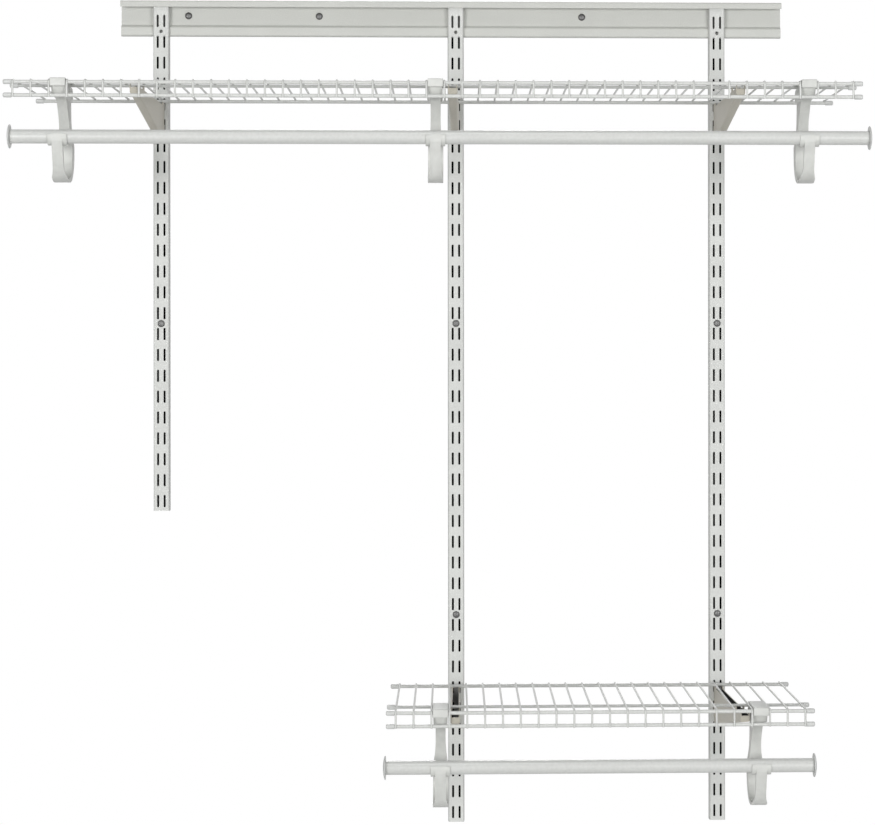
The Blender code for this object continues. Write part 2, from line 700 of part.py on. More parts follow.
def build_kit():
    """Every piece of the kit in its place."""
    white = surface("powder_coated_steel", (0.80, 0.81, 0.82), 0.35)
    channel = surface("powder_coated_channel", (0.66, 0.67, 0.69), 0.5)
    folded_steel = surface("powder_coated_bracket", (0.72, 0.72, 0.71), 0.45)
    plastic = surface("white_plastic", (0.74, 0.75, 0.77), 0.45)
    zinc = surface("zinc_plate", (0.55, 0.56, 0.58), 0.35, 1.0)

    place("hang_rail", rail_mesh(white), Vector())
    rail_screw = screw_mesh(RAIL_SHEET, zinc)
    for side, across in (("left", RAIL_SCREW_LEFT), ("inner", RAIL_SCREW_INNER), ("right", RAIL_SCREW_RIGHT)):
        place(f"rail_screw_{side}", rail_screw, Vector((across, -RAIL_SHEET, RAIL_SCREW_HEIGHT)))

    upright_screw = screw_mesh(UPRIGHT_DEPTH, zinc)
    short = upright_mesh(SHORT_UPRIGHT_SLOTS, (MIDDLE_SCREW_SHARE,), channel)
    long = upright_mesh(LONG_UPRIGHT_SLOTS, (MIDDLE_SCREW_SHARE, LOWER_SCREW_SHARE), channel)
    bracket = bracket_mesh(folded_steel)
    short_screws = {"middle": MIDDLE_SCREW_SHARE}
    long_screws = {"middle": MIDDLE_SCREW_SHARE, "lower": LOWER_SCREW_SHARE}
    upper_deck = {"upper": (UPPER_BRACKET_SLOT, UPPER_BRACKET_TURNS)}
    both_decks = {**upper_deck, "lower": (LOWER_BRACKET_SLOT, LOWER_BRACKET_TURNS)}
    for side, across, mesh, screws, decks in (
        ("left", UPRIGHT_LEFT_X, short, short_screws, upper_deck),
        ("center", UPRIGHT_CENTER_X, long, long_screws, both_decks),
        ("right", UPRIGHT_RIGHT_X, long, long_screws, both_decks),
    ):
        place(f"upright_{side}", mesh, Vector((across, 0, 0)))
        for level, share in screws.items():
            where = Vector((across, FACE_Y, slot_height(share)))
            place(f"upright_screw_{side}_{level}", upright_screw, where)
        for level, (slot, turns) in decks.items():
            where = Vector((across, FACE_Y, deck_height(slot)))
            place(f"bracket_{level}_{side}", bracket, where, turn=math.radians(turns[side]))

    meshes = {
        "tip": tip_mesh(LONG_WIRE, plastic),
        "second_tip": tip_mesh(SECOND_WIRE, plastic),
        "rod_cap": rod_cap_mesh(plastic),
        "hook": hook_mesh(plastic),
    }
    build_shelf(
        "upper", UPPER_SHELF_X, deck_height(UPPER_BRACKET_SLOT), UPPER_CROSS_WIRES,
        {"left": -1, "center": 0, "right": 1}, UPPER_ROD_SHIFT, meshes, white,
    )
    build_shelf(
        "lower", LOWER_SHELF_X, deck_height(LOWER_BRACKET_SLOT), LOWER_CROSS_WIRES,
        {"left": -1, "right": 1}, LOWER_ROD_SHIFT, meshes, white,
    )


for old in list(bpy.data.objects):
    bpy.data.objects.remove(old)
build_kit()
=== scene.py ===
import math

import bmesh
import bpy
from mathutils import Matrix, Vector


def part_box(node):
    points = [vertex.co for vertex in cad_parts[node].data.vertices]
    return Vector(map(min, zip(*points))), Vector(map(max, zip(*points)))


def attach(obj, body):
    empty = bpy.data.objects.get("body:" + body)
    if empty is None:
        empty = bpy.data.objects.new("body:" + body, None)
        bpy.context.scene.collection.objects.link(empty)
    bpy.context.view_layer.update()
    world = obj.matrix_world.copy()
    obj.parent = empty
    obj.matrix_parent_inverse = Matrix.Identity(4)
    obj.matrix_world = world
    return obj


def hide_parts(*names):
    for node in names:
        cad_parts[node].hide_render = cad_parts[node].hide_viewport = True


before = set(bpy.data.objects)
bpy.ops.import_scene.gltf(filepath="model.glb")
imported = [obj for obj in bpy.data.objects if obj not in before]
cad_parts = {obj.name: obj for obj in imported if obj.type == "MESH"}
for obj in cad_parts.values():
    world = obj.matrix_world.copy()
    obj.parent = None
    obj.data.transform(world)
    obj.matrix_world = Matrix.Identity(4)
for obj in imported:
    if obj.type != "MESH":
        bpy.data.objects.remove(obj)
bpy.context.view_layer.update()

# Lengths are in metres.

# Camera, at the place that the photograph was taken from
CAMERA_PLACE = (-0.0012, -4.187, -0.5046)
CAMERA_YAW = -0.0371
CAMERA_ROLL = -0.0009
CAMERA_LENS = 111.44
CAMERA_SENSOR = 36.0
CAMERA_SHIFT_X = -0.1313
CAMERA_SHIFT_Y = -0.0747

# Stage: a floor whose shade drifts slowly and that glows a little where it is seen, and a strip of painted
# shade behind each upright, dark where the wall would lie in shade
FLOOR_HEIGHT = -1.5
FLOOR_HALF_WIDTH = 3.0
FLOOR_FRONT = -6.0
FLOOR_BACK = 1.2
FLOOR_LIFT = 0.4
FLOOR_DRIFT = 0.5
FLOOR_LIGHT = "f0f0f0"
FLOOR_DARK = "ececec"
STRIP_GAP = 0.0005
PAINTED_SHADE_COLOUR = "161616"
STRIP_INSET = 0.0021

# Lights: place, point aimed at, size across and power in watts. The sky is white where it is seen.
LIGHTS = {
    "key_light": ((-2.4, -6.0, -0.3), (0.0, 0.0, -0.6), 2.0, 150.0),
    "fill_light": ((2.4, -6.0, -0.3), (0.0, 0.0, -0.6), 2.0, 127.0),
    "top_light": ((0.0, -2.5, 3.5), (0.0, 0.0, -0.3), 2.0, 32.0),
    "back_light": ((0.0, 6.0, 2.4), (0.0, 0.0, -0.6), 2.0, 80.0),
}
SKY_COLOUR = "7c7d7d"
WHITE = "ffffff"

# Gaps and small steps
FIT_GAP = 0.0003
CUT_OVERRUN = 0.002
MERGE_DISTANCE = 0.000001
ARC_STEP_DEGREES = 9.0
SHARP_DEGREES = 35.0

# Numbers of sides on round shapes, and of steps in bends and round edges
WIRE_SIDES = 16
CROSS_SIDES = 10
TURNED_SIDES = 32
ROD_SIDES = 64
CROSS_BEND_STEPS = 5
BRACKET_BEND_STEPS = 4
HOOK_EDGE_STEPS = 3

# Both ends of a wire or rod: name, way along X, and turn of a piece drawn for the right end
ENDS = (("right", 1, 0.0), ("left", -1, math.pi))

# Finishes. The part of a noise between two values runs from the dark colour to the light one, the slow
# clouds have a share in a coat's grain, and roughness drifts by so much to both sides.
COAT_NOISE = (0.36, 0.62)
COAT_CLOUD_SHARE = 0.35
COAT_DRIFT = 0.05
PEEL_HEIGHT = 0.0002
PLASTIC_NOISE = (0.35, 0.65)
PLASTIC_DRIFT = 0.06
STIPPLE_HEIGHT = 0.00015
ZINC_DRIFT = 0.08

# Painted shade: a dark colour inside the folds of uprights and brackets, and by this share on a bracket's
# nose.
# A face of an upright that points up or down by more than the limit is a cut end, and gets no painted shade.
NOSE_PAINTED_SHADE = 0.2
STEEP_LIMIT = 0.7

# Hang rail
RAIL_SHEET = 0.0016
RAIL_BEND = 0.0012
RAIL_DEPTH = 0.020
RAIL_LIP_DROP = 0.0096
RAIL_STEP_BELOW = 0.0087
RAIL_STEP_DROP = 0.0038
RAIL_BAND_DEPTH = 0.0076
RAIL_SCREWS = ("left", "inner", "right")

# Uprights and their slots. Holes between slots are placed in slot pitches down from the top slot.
UPRIGHT_SHEET = 0.0016
UPRIGHT_BEND = 0.0008
UPRIGHT_FRONT_WIDTH = 0.0236
SLOT_PITCH = 0.032
SLOT_HEIGHT = 0.019
SLOT_WIDTH = 0.0032
SLOT_COLUMN_SPACING = 0.010
FIRST_SLOT_BELOW = 0.004
SCREW_HOLE = 0.0055
TOP_HOLE_STEP = 0.5
MIDDLE_SCREW_STEP = 14.5
LOWER_SCREW_STEP = 28.5
UPRIGHT_SLOTS = {"left": 24, "center": 39, "right": 39}
UPRIGHT_SCREWS = {
    "left": {"middle": MIDDLE_SCREW_STEP},
    "center": {"middle": MIDDLE_SCREW_STEP, "lower": LOWER_SCREW_STEP},
    "right": {"middle": MIDDLE_SCREW_STEP, "lower": LOWER_SCREW_STEP},
}

# Screws. A power below one makes the dome of the head fuller than a ball.
SCREW_HEAD = 0.0108
SCREW_HEAD_HEIGHT = 0.0034
SCREW_SHANK = 0.0045
DOME_STEP_DEGREES = 10
DOME_POWER = 0.6
RECESS_LENGTH = 0.0056
RECESS_WIDTH = 0.0013
RECESS_DEPTH = 0.0022

# Wire shelves
CROSS_PITCH = 0.0254
CROSS_WIRE = 0.003
LONG_WIRE = 0.0054
SECOND_WIRE = 0.0046
WELD_DEPTH = 0.001
SHELF_DEPTH = 0.3048
SECOND_SETBACK = 0.062
LIP_DROP = 0.0189
CROSS_TAIL = 0.0002
CROSS_BEND = 0.0042
LONG_WIRE_TAIL = 0.0117
CROSS_WIRES = {"upper": 48, "lower": 24}

# Tips on the long wires
TIP_DIAMETER = 0.0072
TIP_LENGTH = 0.012
TIP_FLOOR = 0.002
TIP_ROUNDING = 0.0024

# Brackets, which stand to one side and a little askew in their slots, turned by so many degrees
BRACKET_TURNS = {
    "upper": {"left": -0.65, "center": -0.8, "right": 0.5},
    "lower": {"center": -0.25, "right": 1.5},
}
BRACKET_SHEET = 0.0014
BRACKET_NOSE_WIDTH = 0.013
BRACKET_REAR_DROP = 0.062
BRACKET_NOSE_DROP = 0.0156
BRACKET_TOP_DROP = 0.006
BRACKET_NOSE_WALL_DROP = 0.007
BRACKET_BEND = 0.0022
BACK_WIRE_SPACE = 0.0122
SEAT_HORN = 0.0027
SEAT_RAMP = 0.0025
SEAT_HORN_DEGREES = 24.0
DECK_ABOVE_SLOT = 0.0034
LUG_NECK = 0.010
LUG_HOOK = 0.007
LUG_DEPTH = 0.004

# Closet rods and their caps. The caps' faces are domed by a power of the share of their radius.
ROD_DIAMETER = 0.020
ROD_WALL = 0.0012
ROD_DROP = 0.0775
CAP_FLANGE = 0.034
CAP_FLANGE_THICK = 0.0042
CAP_RIM = 0.0016
CAP_PLUG = 0.018
CAP_DOME_POWER = 2.2
CAP_DOME_SHARES = (0.0, 0.2, 0.4, 0.6, 0.75, 0.88, 0.96)
CAP_EDGE_START_DEGREES = 60

# Rod hooks, measured from the rod's axis, with their side of the shelf's middle
HOOK_SIDES = {"upper": {"left": -1, "center": 0, "right": 1}, "lower": {"left": -1, "right": 1}}
HOOK_INSET_WIRES = 3
HOOK_EDGE = 0.0009
SADDLE_REACH = 0.0665
SADDLE_THICK = 0.0028
SADDLE_LIP = 0.004
SADDLE_LIP_DROP = 0.006
SHOULDER_INSET = 0.0008
SHOULDER_TOP = 0.060
SHOULDER_FOOT = 0.0565
NECK_WIDTH = 0.0144
NECK_FLARE_TOP = 0.028
NECK_FLARE_LENGTH = 0.036
SPINE_START = 0.0038
SPINE_BEND = 0.045
LOOP_WIDTH = 0.022
LOOP_BACK = 0.089
LOOP_BOTTOM = 0.0623
LOOP_FLOOR = 0.0043
LOOP_REAR_RADIUS = 0.043
LOOP_FRONT_RADIUS = 0.042
LOOP_INNER_REAR_RADIUS = 0.030
LOOP_INNER_FRONT_RADIUS = 0.026
TOE_REACH = 0.007
TOE_INNER_REACH = 0.011
ARM_BACK = 0.020
ARM_WIDTH = 0.0152
ARM_FLARE_TOP = -0.040
ARM_FLARE_LENGTH = 0.017
ARM_FOOT = 0.040
ARM_LIP_RISE = 0.0035
CRADLE_WIDTH = 0.028
CRADLE_WALL = 0.0026
CRADLE_START_DEGREES = 165
CRADLE_END_DEGREES = 300
ARM_END_DEGREES = 270

# Points on a hook's spine, as shares of the loop's depth back and of the rod's drop down from the deck,
# on its arm, as shares of the arm's foot back and up, and on a flare, as shares of its length and step
SPINE_FRONT_SHARES = ((0.045, 0.075), (0.11, 0.215), (0.29, 0.265), (0.43, 0.33), (0.742, 0.742))
SPINE_REAR_SHARES = ((0.966, 0.774), (0.933, 0.284), (0.9, 0.103), (0.86, 0.045))
ARM_FRONT_SHARES = ((-0.32, -0.17), (-0.2, -0.45), (-0.08, -0.8))
ARM_REAR_SHARES = ((0.125, -0.75), (0.06, -0.4))
FLARE_SHARES = ((1, 1), (0.8, 0.62), (0.55, 0.3), (0.3, 0.1), (0, 0))

# Worked out from the sizes above
SADDLE_WIDTH = CROSS_PITCH - CROSS_WIRE - 2 * FIT_GAP
FRONT_EDGE = BACK_WIRE_SPACE + SHELF_DEPTH
BRACKET_NOSE = FRONT_EDGE - LONG_WIRE / 2 - FIT_GAP
BRACKET_REAR_WIDTH = SLOT_COLUMN_SPACING + BRACKET_SHEET
BRACKET_PLAY = (SLOT_WIDTH - BRACKET_SHEET) / 2 - FIT_GAP


def middle(node):
    """The middle of a node's box."""
    low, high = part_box(node)
    return (Vector(low) + Vector(high)) / 2


def rectangle(left, bottom, right, top):
    """The outline of a rectangle."""
    return [(left, bottom), (right, bottom), (right, top), (left, top)]


def side_view(depth, height, across):
    """A point drawn from the side: out from the wall, up, and along the wall."""
    return Vector((across, -depth, height))


def hook_view(back, height, across):
    """A point drawn from the side of a hook: back towards the wall, up, and along the wall."""
    return Vector((across, back, height))


def plan_view(across, depth, height):
    """A point drawn from above: along the wall, out from it, and up."""
    return Vector((across, -depth, height))


def front_view(across, height, depth):
    """A point drawn from the front: along the wall, up, and out from it."""
    return Vector((across, -depth, height))


def arc(radius, start, end, centre=(0, 0)):
    """Points along an arc, with its angles in degrees."""
    steps = max(1, math.ceil(abs(end - start) / ARC_STEP_DEGREES))
    turns = [math.radians(start + (end - start) * step / steps) for step in range(steps + 1)]
    return [(centre[0] + radius * math.cos(turn), centre[1] + radius * math.sin(turn)) for turn in turns]


def fillet(before, corner, after, radius):
    """The arc that rounds one corner of an outline."""
    corner = Vector(corner)
    incoming = (corner - Vector(before)).normalized()
    outgoing = (Vector(after) - corner).normalized()
    turn = incoming.angle_signed(outgoing)
    reach = radius * math.tan(abs(turn) / 2)
    side = Vector((incoming.y, -incoming.x)) * math.copysign(radius, turn)
    centre = corner - incoming * reach + side
    start = math.degrees(math.atan2(-side.y, -side.x))
    return arc(radius, start, start - math.degrees(turn), centre)


def rounded(corners):
    """A closed outline through (first, second, radius) corners, rounded where the radius isn't zero."""
    outline = []
    for index, (first, second, radius) in enumerate(corners):
        if radius:
            before = corners[index - 1][:2]
            after = corners[(index + 1) % len(corners)][:2]
            outline += fillet(before, (first, second), after, radius)
        else:
            outline.append((first, second))
    return outline


def folded(face, sheet, bend):
    """The closed outline of a folded sheet. The face is one side of it, with the metal on its right."""
    face = [Vector(point) for point in face]
    ways = [(after - before).normalized() for before, after in zip(face, face[1:])]
    normals = [Vector((way.y, -way.x)) for way in ways]
    near = [face[0]]
    far = [face[0] + normals[0] * sheet]
    for corner, incoming, outgoing, normal in zip(face[1:], ways, ways[1:], normals):
        turn = incoming.angle_signed(outgoing)
        near_radius = bend + sheet if turn > 0 else -bend
        reach = abs(near_radius) * math.tan(abs(turn) / 2)
        centre = corner - incoming * reach + normal * near_radius
        steps = max(1, math.ceil(math.degrees(abs(turn)) / ARC_STEP_DEGREES))
        for step in range(steps + 1):
            spoke = (Matrix.Rotation(-turn * step / steps, 2) @ normal).normalized()
            near.append(centre - spoke * near_radius)
            far.append(centre - spoke * (near_radius - sheet))
    near.append(face[-1])
    far.append(face[-1] + normals[-1] * sheet)
    return [tuple(point) for point in near + far[::-1]]


def grow(shape, face, move):
    """Extrude a face, move its copy by a matrix, and return the copy."""
    grown = bmesh.ops.extrude_face_region(shape, geom=[face])["geom"]
    corners = [item for item in grown if isinstance(item, bmesh.types.BMVert)]
    bmesh.ops.transform(shape, matrix=move, verts=corners)
    return next(item for item in grown if isinstance(item, bmesh.types.BMFace))


def add_prism(shape, outline, low, high, view):
    """Extrude a closed outline from low to high, square to the view it is drawn in."""
    face = shape.faces.new([shape.verts.new(view(first, second, low)) for first, second in outline])
    grow(shape, face, Matrix.Translation(view(0, 0, high) - view(0, 0, low)))


def add_turned(shape, profile, axis, sides):
    """Turn a profile of (along, radius) points about an axis. One that starts off the axis makes a ring."""
    spoke = axis.orthogonal().normalized()
    corners = [shape.verts.new(axis * along + spoke * radius) for along, radius in profile]
    edges = [shape.edges.new(pair) for pair in zip(corners, corners[1:])]
    if profile[0][1]:
        edges.append(shape.edges.new((corners[-1], corners[0])))
    bmesh.ops.spin(
        shape, geom=corners + edges, cent=Vector(), axis=axis, angle=2 * math.pi, steps=sides, use_merge=True
    )
    bmesh.ops.remove_doubles(shape, verts=shape.verts, dist=MERGE_DISTANCE)


def ease_edges(shape, width, segments):
    """Round the sharp edges of a shape."""
    bmesh.ops.recalc_face_normals(shape, faces=shape.faces)
    sharp = [edge for edge in shape.edges if edge.calc_face_angle(0) > math.radians(SHARP_DEGREES)]
    bmesh.ops.bevel(
        shape, geom=sharp, offset=width, offset_type="OFFSET", segments=segments, profile=0.5,
        affect="EDGES", clamp_overlap=True, material=-1,
    )


def add_object(name, data):
    """A new object in the scene for a mesh, a lamp or a lens."""
    made = bpy.data.objects.new(name, data)
    bpy.context.scene.collection.objects.link(made)
    return made


def object_from(name, shape):
    """Turn a mesh in work into an object."""
    mesh = bpy.data.meshes.new(name)
    shape.to_mesh(mesh)
    shape.free()
    return add_object(name, mesh)


def piece_from(name, shape):
    """Turn a mesh in work into an object with its faces pointing out."""
    bmesh.ops.recalc_face_normals(shape, faces=shape.faces)
    return object_from(name, shape)


def combine(piece, tool, operation):
    """Join a tool to a piece, or cut it away, and remove the tool."""
    step = piece.modifiers.new(tool.name, "BOOLEAN")
    step.operation = operation
    step.solver = "EXACT"
    step.object = tool
    graph = bpy.context.evaluated_depsgraph_get()
    mesh = bpy.data.meshes.new_from_object(piece.evaluated_get(graph))
    piece.modifiers.remove(step)
    piece.data = mesh
    bpy.data.objects.remove(tool)


def copy_of(name, source, where, turn=0.0):
    """A copy of a piece drawn at the origin, turned about the upright axis and put in its place."""
    mesh = source.data.copy()
    mesh.transform(Matrix.Translation(where) @ Matrix.Rotation(turn, 4, "Z"))
    return add_object(name, mesh)


def fit(piece, material, body, slot, *nodes):
    """Give a piece its finish and its body, and let it stand for its nodes."""
    piece.data.materials.clear()
    piece.data.materials.append(material)
    piece.data.shade_smooth()
    piece.data.set_sharp_from_angle(angle=math.radians(SHARP_DEGREES))
    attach(piece, body)
    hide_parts(*nodes)


def colour(code):
    """A linear colour from an sRGB hex code."""
    parts = [int(code[start:start + 2], 16) / 255 for start in (0, 2, 4)]
    linear = [part / 12.92 if part <= 0.04045 else ((part + 0.055) / 1.055) ** 2.4 for part in parts]
    return (*linear, 1.0)


def add_node(tree, kind, settings=None, inputs=None):
    """Add a node. An input is a value for its socket, or an output that is linked to it."""
    made = tree.nodes.new(kind)
    for name, value in (settings or {}).items():
        setattr(made, name, value)
    for name, value in (inputs or {}).items():
        if isinstance(value, bpy.types.NodeSocket):
            tree.links.new(value, made.inputs[name])
        else:
            made.inputs[name].default_value = value
    return made


def new_material(name):
    """A material with only its output node, and the point on the object that its patterns read."""
    material = bpy.data.materials.new(name)
    material.use_nodes = True
    tree = material.node_tree
    tree.nodes.clear()
    output = add_node(tree, "ShaderNodeOutputMaterial")
    point = add_node(tree, "ShaderNodeTexCoord").outputs["Object"]
    return material, tree, output, point


def coated_metal(name, light, dark, grain, cloud, peel, roughness, coat, painted_shade=None):
    """Steel under a baked coating: a fine grain in its colour, slow drifts of shade, and orange peel.

    Where there is a colour of painted shade, marked faces show it by their share.
    """
    material, tree, output, point = new_material(name)
    grains = add_node(
        tree, "ShaderNodeTexNoise", inputs={"Vector": point, "Scale": 1 / grain, "Detail": 2.0}
    )
    clouds = add_node(
        tree, "ShaderNodeTexNoise", inputs={"Vector": point, "Scale": 1 / cloud, "Detail": 3.0}
    )
    blend = add_node(
        tree, "ShaderNodeMix", {"data_type": "FLOAT"},
        {"Factor": COAT_CLOUD_SHARE, "A": grains.outputs["Fac"], "B": clouds.outputs["Fac"]},
    )
    shade = add_node(
        tree, "ShaderNodeMapRange",
        inputs={"Value": blend.outputs[0], "From Min": COAT_NOISE[0], "From Max": COAT_NOISE[1]},
    )
    tint = add_node(
        tree, "ShaderNodeMix", {"data_type": "RGBA"},
        {"Factor": shade.outputs["Result"], "A": colour(dark), "B": colour(light)},
    )
    # Painted shade: the dark colour on marked faces, by each face's share.
    if painted_shade:
        marks = add_node(tree, "ShaderNodeAttribute", {"attribute_name": "painted_shade_share"})
        tint = add_node(
            tree, "ShaderNodeMix", {"data_type": "RGBA"},
            {"Factor": marks.outputs["Fac"], "A": tint.outputs[2], "B": colour(painted_shade)},
        )
    gloss = add_node(
        tree, "ShaderNodeMapRange",
        inputs={
            "Value": clouds.outputs["Fac"],
            "To Min": roughness - COAT_DRIFT, "To Max": roughness + COAT_DRIFT,
        },
    )
    skin = add_node(
        tree, "ShaderNodeTexNoise", inputs={"Vector": point, "Scale": 1 / peel, "Detail": 1.0}
    )
    bump = add_node(
        tree, "ShaderNodeBump",
        inputs={"Height": skin.outputs["Fac"], "Strength": 0.25, "Distance": PEEL_HEIGHT},
    )
    shader = add_node(
        tree, "ShaderNodeBsdfPrincipled",
        inputs={
            "Base Color": tint.outputs[2], "Roughness": gloss.outputs["Result"], "Metallic": 0.0,
            "IOR": 1.5, "Coat Weight": coat, "Coat Roughness": 0.12, "Normal": bump.outputs["Normal"],
        },
    )
    tree.links.new(shader.outputs["BSDF"], output.inputs["Surface"])
    return material


def moulded_plastic(name, light, dark, flow, stipple, roughness):
    """Moulded polypropylene: a waxy, even surface with faint flow bands and a fine mould stipple."""
    material, tree, output, point = new_material(name)
    bands = add_node(
        tree, "ShaderNodeTexNoise",
        inputs={"Vector": point, "Scale": 1 / flow, "Detail": 3.0, "Distortion": 0.6},
    )
    shade = add_node(
        tree, "ShaderNodeMapRange",
        inputs={"Value": bands.outputs["Fac"], "From Min": PLASTIC_NOISE[0], "From Max": PLASTIC_NOISE[1]},
    )
    tint = add_node(
        tree, "ShaderNodeMix", {"data_type": "RGBA"},
        {"Factor": shade.outputs["Result"], "A": colour(dark), "B": colour(light)},
    )
    grains = add_node(
        tree, "ShaderNodeTexNoise", inputs={"Vector": point, "Scale": 1 / stipple, "Detail": 2.0}
    )
    gloss = add_node(
        tree, "ShaderNodeMapRange",
        inputs={
            "Value": grains.outputs["Fac"],
            "To Min": roughness - PLASTIC_DRIFT, "To Max": roughness + PLASTIC_DRIFT,
        },
    )
    bump = add_node(
        tree, "ShaderNodeBump",
        inputs={"Height": grains.outputs["Fac"], "Strength": 0.2, "Distance": STIPPLE_HEIGHT},
    )
    shader = add_node(
        tree, "ShaderNodeBsdfPrincipled",
        inputs={
            "Base Color": tint.outputs[2], "Roughness": gloss.outputs["Result"], "IOR": 1.49,
            "Subsurface Weight": 0.06, "Subsurface Radius": (0.002, 0.002, 0.002), "Subsurface Scale": 1.0,
            "Normal": bump.outputs["Normal"],
        },
    )
    tree.links.new(shader.outputs["BSDF"], output.inputs["Surface"])
    return material


def zinc_plate(name, light, dark, spangle, roughness):
    """Zinc-plated steel: dull grey metal whose plating is uneven from spot to spot."""
    material, tree, output, point = new_material(name)
    spots = add_node(
        tree, "ShaderNodeTexNoise", inputs={"Vector": point, "Scale": 1 / spangle, "Detail": 3.0}
    )
    tint = add_node(
        tree, "ShaderNodeMix", {"data_type": "RGBA"},
        {"Factor": spots.outputs["Fac"], "A": colour(dark), "B": colour(light)},
    )
    gloss = add_node(
        tree, "ShaderNodeMapRange",
        inputs={
            "Value": spots.outputs["Fac"],
            "To Min": roughness - ZINC_DRIFT, "To Max": roughness + ZINC_DRIFT,
        },
    )
    shader = add_node(
        tree, "ShaderNodeBsdfPrincipled",
        inputs={"Base Color": tint.outputs[2], "Roughness": gloss.outputs["Result"], "Metallic": 1.0},
    )
    tree.links.new(shader.outputs["BSDF"], output.inputs["Surface"])
    return material


def mark_faces(piece, shares):
    """Mark each face of a piece with the share of the painted shade colour that shows there."""
    marks = piece.data.attributes.new("painted_shade_share", "FLOAT", "FACE")
    marks.data.foreach_set("value", shares)


def slot_height(step):
    """Height of a slot's centre, or of a place between slots, counted in pitches from the top slot."""
    return -FIRST_SLOT_BELOW - step * SLOT_PITCH


def hole_outline(across, height):
    """Outline of a round hole for a screw."""
    return arc(SCREW_HOLE / 2, 0, 360 - ARC_STEP_DEGREES, (across, height))


def make_rail(material):
    """The hang rail: one folded sheet with a lip, a recess against the wall, a band and a foot."""
    low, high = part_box("hang_rail")
    lip_inside = RAIL_DEPTH - RAIL_SHEET
    ledge = high[2] - RAIL_SHEET
    face = [
        (lip_inside, high[2] - RAIL_LIP_DROP),
        (lip_inside, ledge),
        (RAIL_SHEET, ledge),
        (RAIL_SHEET, -RAIL_STEP_BELOW),
        (RAIL_BAND_DEPTH, -RAIL_STEP_BELOW - RAIL_STEP_DROP),
        (RAIL_BAND_DEPTH, low[2]),
        (0, low[2]),
    ]
    shape = bmesh.new()
    add_prism(shape, folded(face, RAIL_SHEET, RAIL_BEND), low[0], high[0], side_view)
    rail = piece_from("hang_rail_sheet", shape)
    holes = bmesh.new()
    for side in RAIL_SCREWS:
        screw = middle(f"rail_screw_{side}")
        add_prism(
            holes, hole_outline(screw.x, screw.z), -CUT_OVERRUN, RAIL_SHEET + CUT_OVERRUN, front_view
        )
    combine(rail, piece_from("rail_holes", holes), "DIFFERENCE")
    fit(rail, material, "wall_frame", "steel", "hang_rail")


def rail_notch():
    """Side outline cut from an upright's flanges, so that they clear the rail and rest on its band."""
    rail_low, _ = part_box("hang_rail")
    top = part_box("upright_left")[1][2] + CUT_OVERRUN
    band_top = -RAIL_STEP_BELOW - RAIL_STEP_DROP
    return [
        (-CUT_OVERRUN, rail_low[2] - FIT_GAP),
        (RAIL_BAND_DEPTH + FIT_GAP, rail_low[2] - FIT_GAP),
        (RAIL_BAND_DEPTH + FIT_GAP, band_top + FIT_GAP),
        (RAIL_SHEET + FIT_GAP, -RAIL_STEP_BELOW + FIT_GAP),
        (RAIL_SHEET + FIT_GAP, top),
        (-CUT_OVERRUN, top),
    ]


def slot_outline(across, height):
    """Outline of a slot with round ends."""
    radius = SLOT_WIDTH / 2
    rise = SLOT_HEIGHT / 2 - radius
    return arc(radius, 0, 180, (across, height + rise)) + arc(radius, 180, 360, (across, height - rise))


def make_upright(side, material):
    """A slotted upright: a tapered channel, its two columns of slots, its round holes and its rail notch."""
    low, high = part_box(f"upright_{side}")
    centre = (low[0] + high[0]) / 2
    back = (high[0] - low[0]) / 2
    front = UPRIGHT_FRONT_WIDTH / 2
    depth = -low[1]
    rim = UPRIGHT_SHEET * (back - front) / depth
    face = [(-back, rim), (-front, depth), (front, depth), (back, rim)]
    shape = bmesh.new()
    add_prism(shape, folded(face, UPRIGHT_SHEET, UPRIGHT_BEND), low[2], high[2], plan_view)
    upright = piece_from(f"upright_{side}_channel", shape)

    notch = bmesh.new()
    reach = back + CUT_OVERRUN
    add_prism(notch, rail_notch(), -reach, reach, side_view)
    combine(upright, piece_from("rail_notch", notch), "DIFFERENCE")

    openings = bmesh.new()
    behind = depth - UPRIGHT_SHEET - CUT_OVERRUN
    ahead = depth + CUT_OVERRUN
    for slot in range(UPRIGHT_SLOTS[side]):
        for column in (-SLOT_COLUMN_SPACING / 2, SLOT_COLUMN_SPACING / 2):
            add_prism(openings, slot_outline(column, slot_height(slot)), behind, ahead, front_view)
    for step in (TOP_HOLE_STEP, *UPRIGHT_SCREWS[side].values()):
        add_prism(openings, hole_outline(0, slot_height(step)), behind, ahead, front_view)
    combine(upright, piece_from("upright_openings", openings), "DIFFERENCE")
    # Painted shade inside the channel.
    mark_channel_shade(upright, back, depth)
    upright.data.transform(Matrix.Translation((centre, 0, 0)))
    fit(upright, material, "wall_frame", "upright_steel", f"upright_{side}")


def mark_channel_shade(upright, back, depth):
    """Mark the faces inside an upright's channel for painted shade, but no cut ends."""
    shares = []
    for face in upright.data.polygons:
        out = -face.center.y
        flange = back - (back - UPRIGHT_FRONT_WIDTH / 2) * out / depth
        inside = out < depth - UPRIGHT_SHEET + FIT_GAP and abs(face.center.x) < flange - UPRIGHT_SHEET / 2
        shares.append(float(inside and abs(face.normal.z) < STEEP_LIMIT))
    mark_faces(upright, shares)


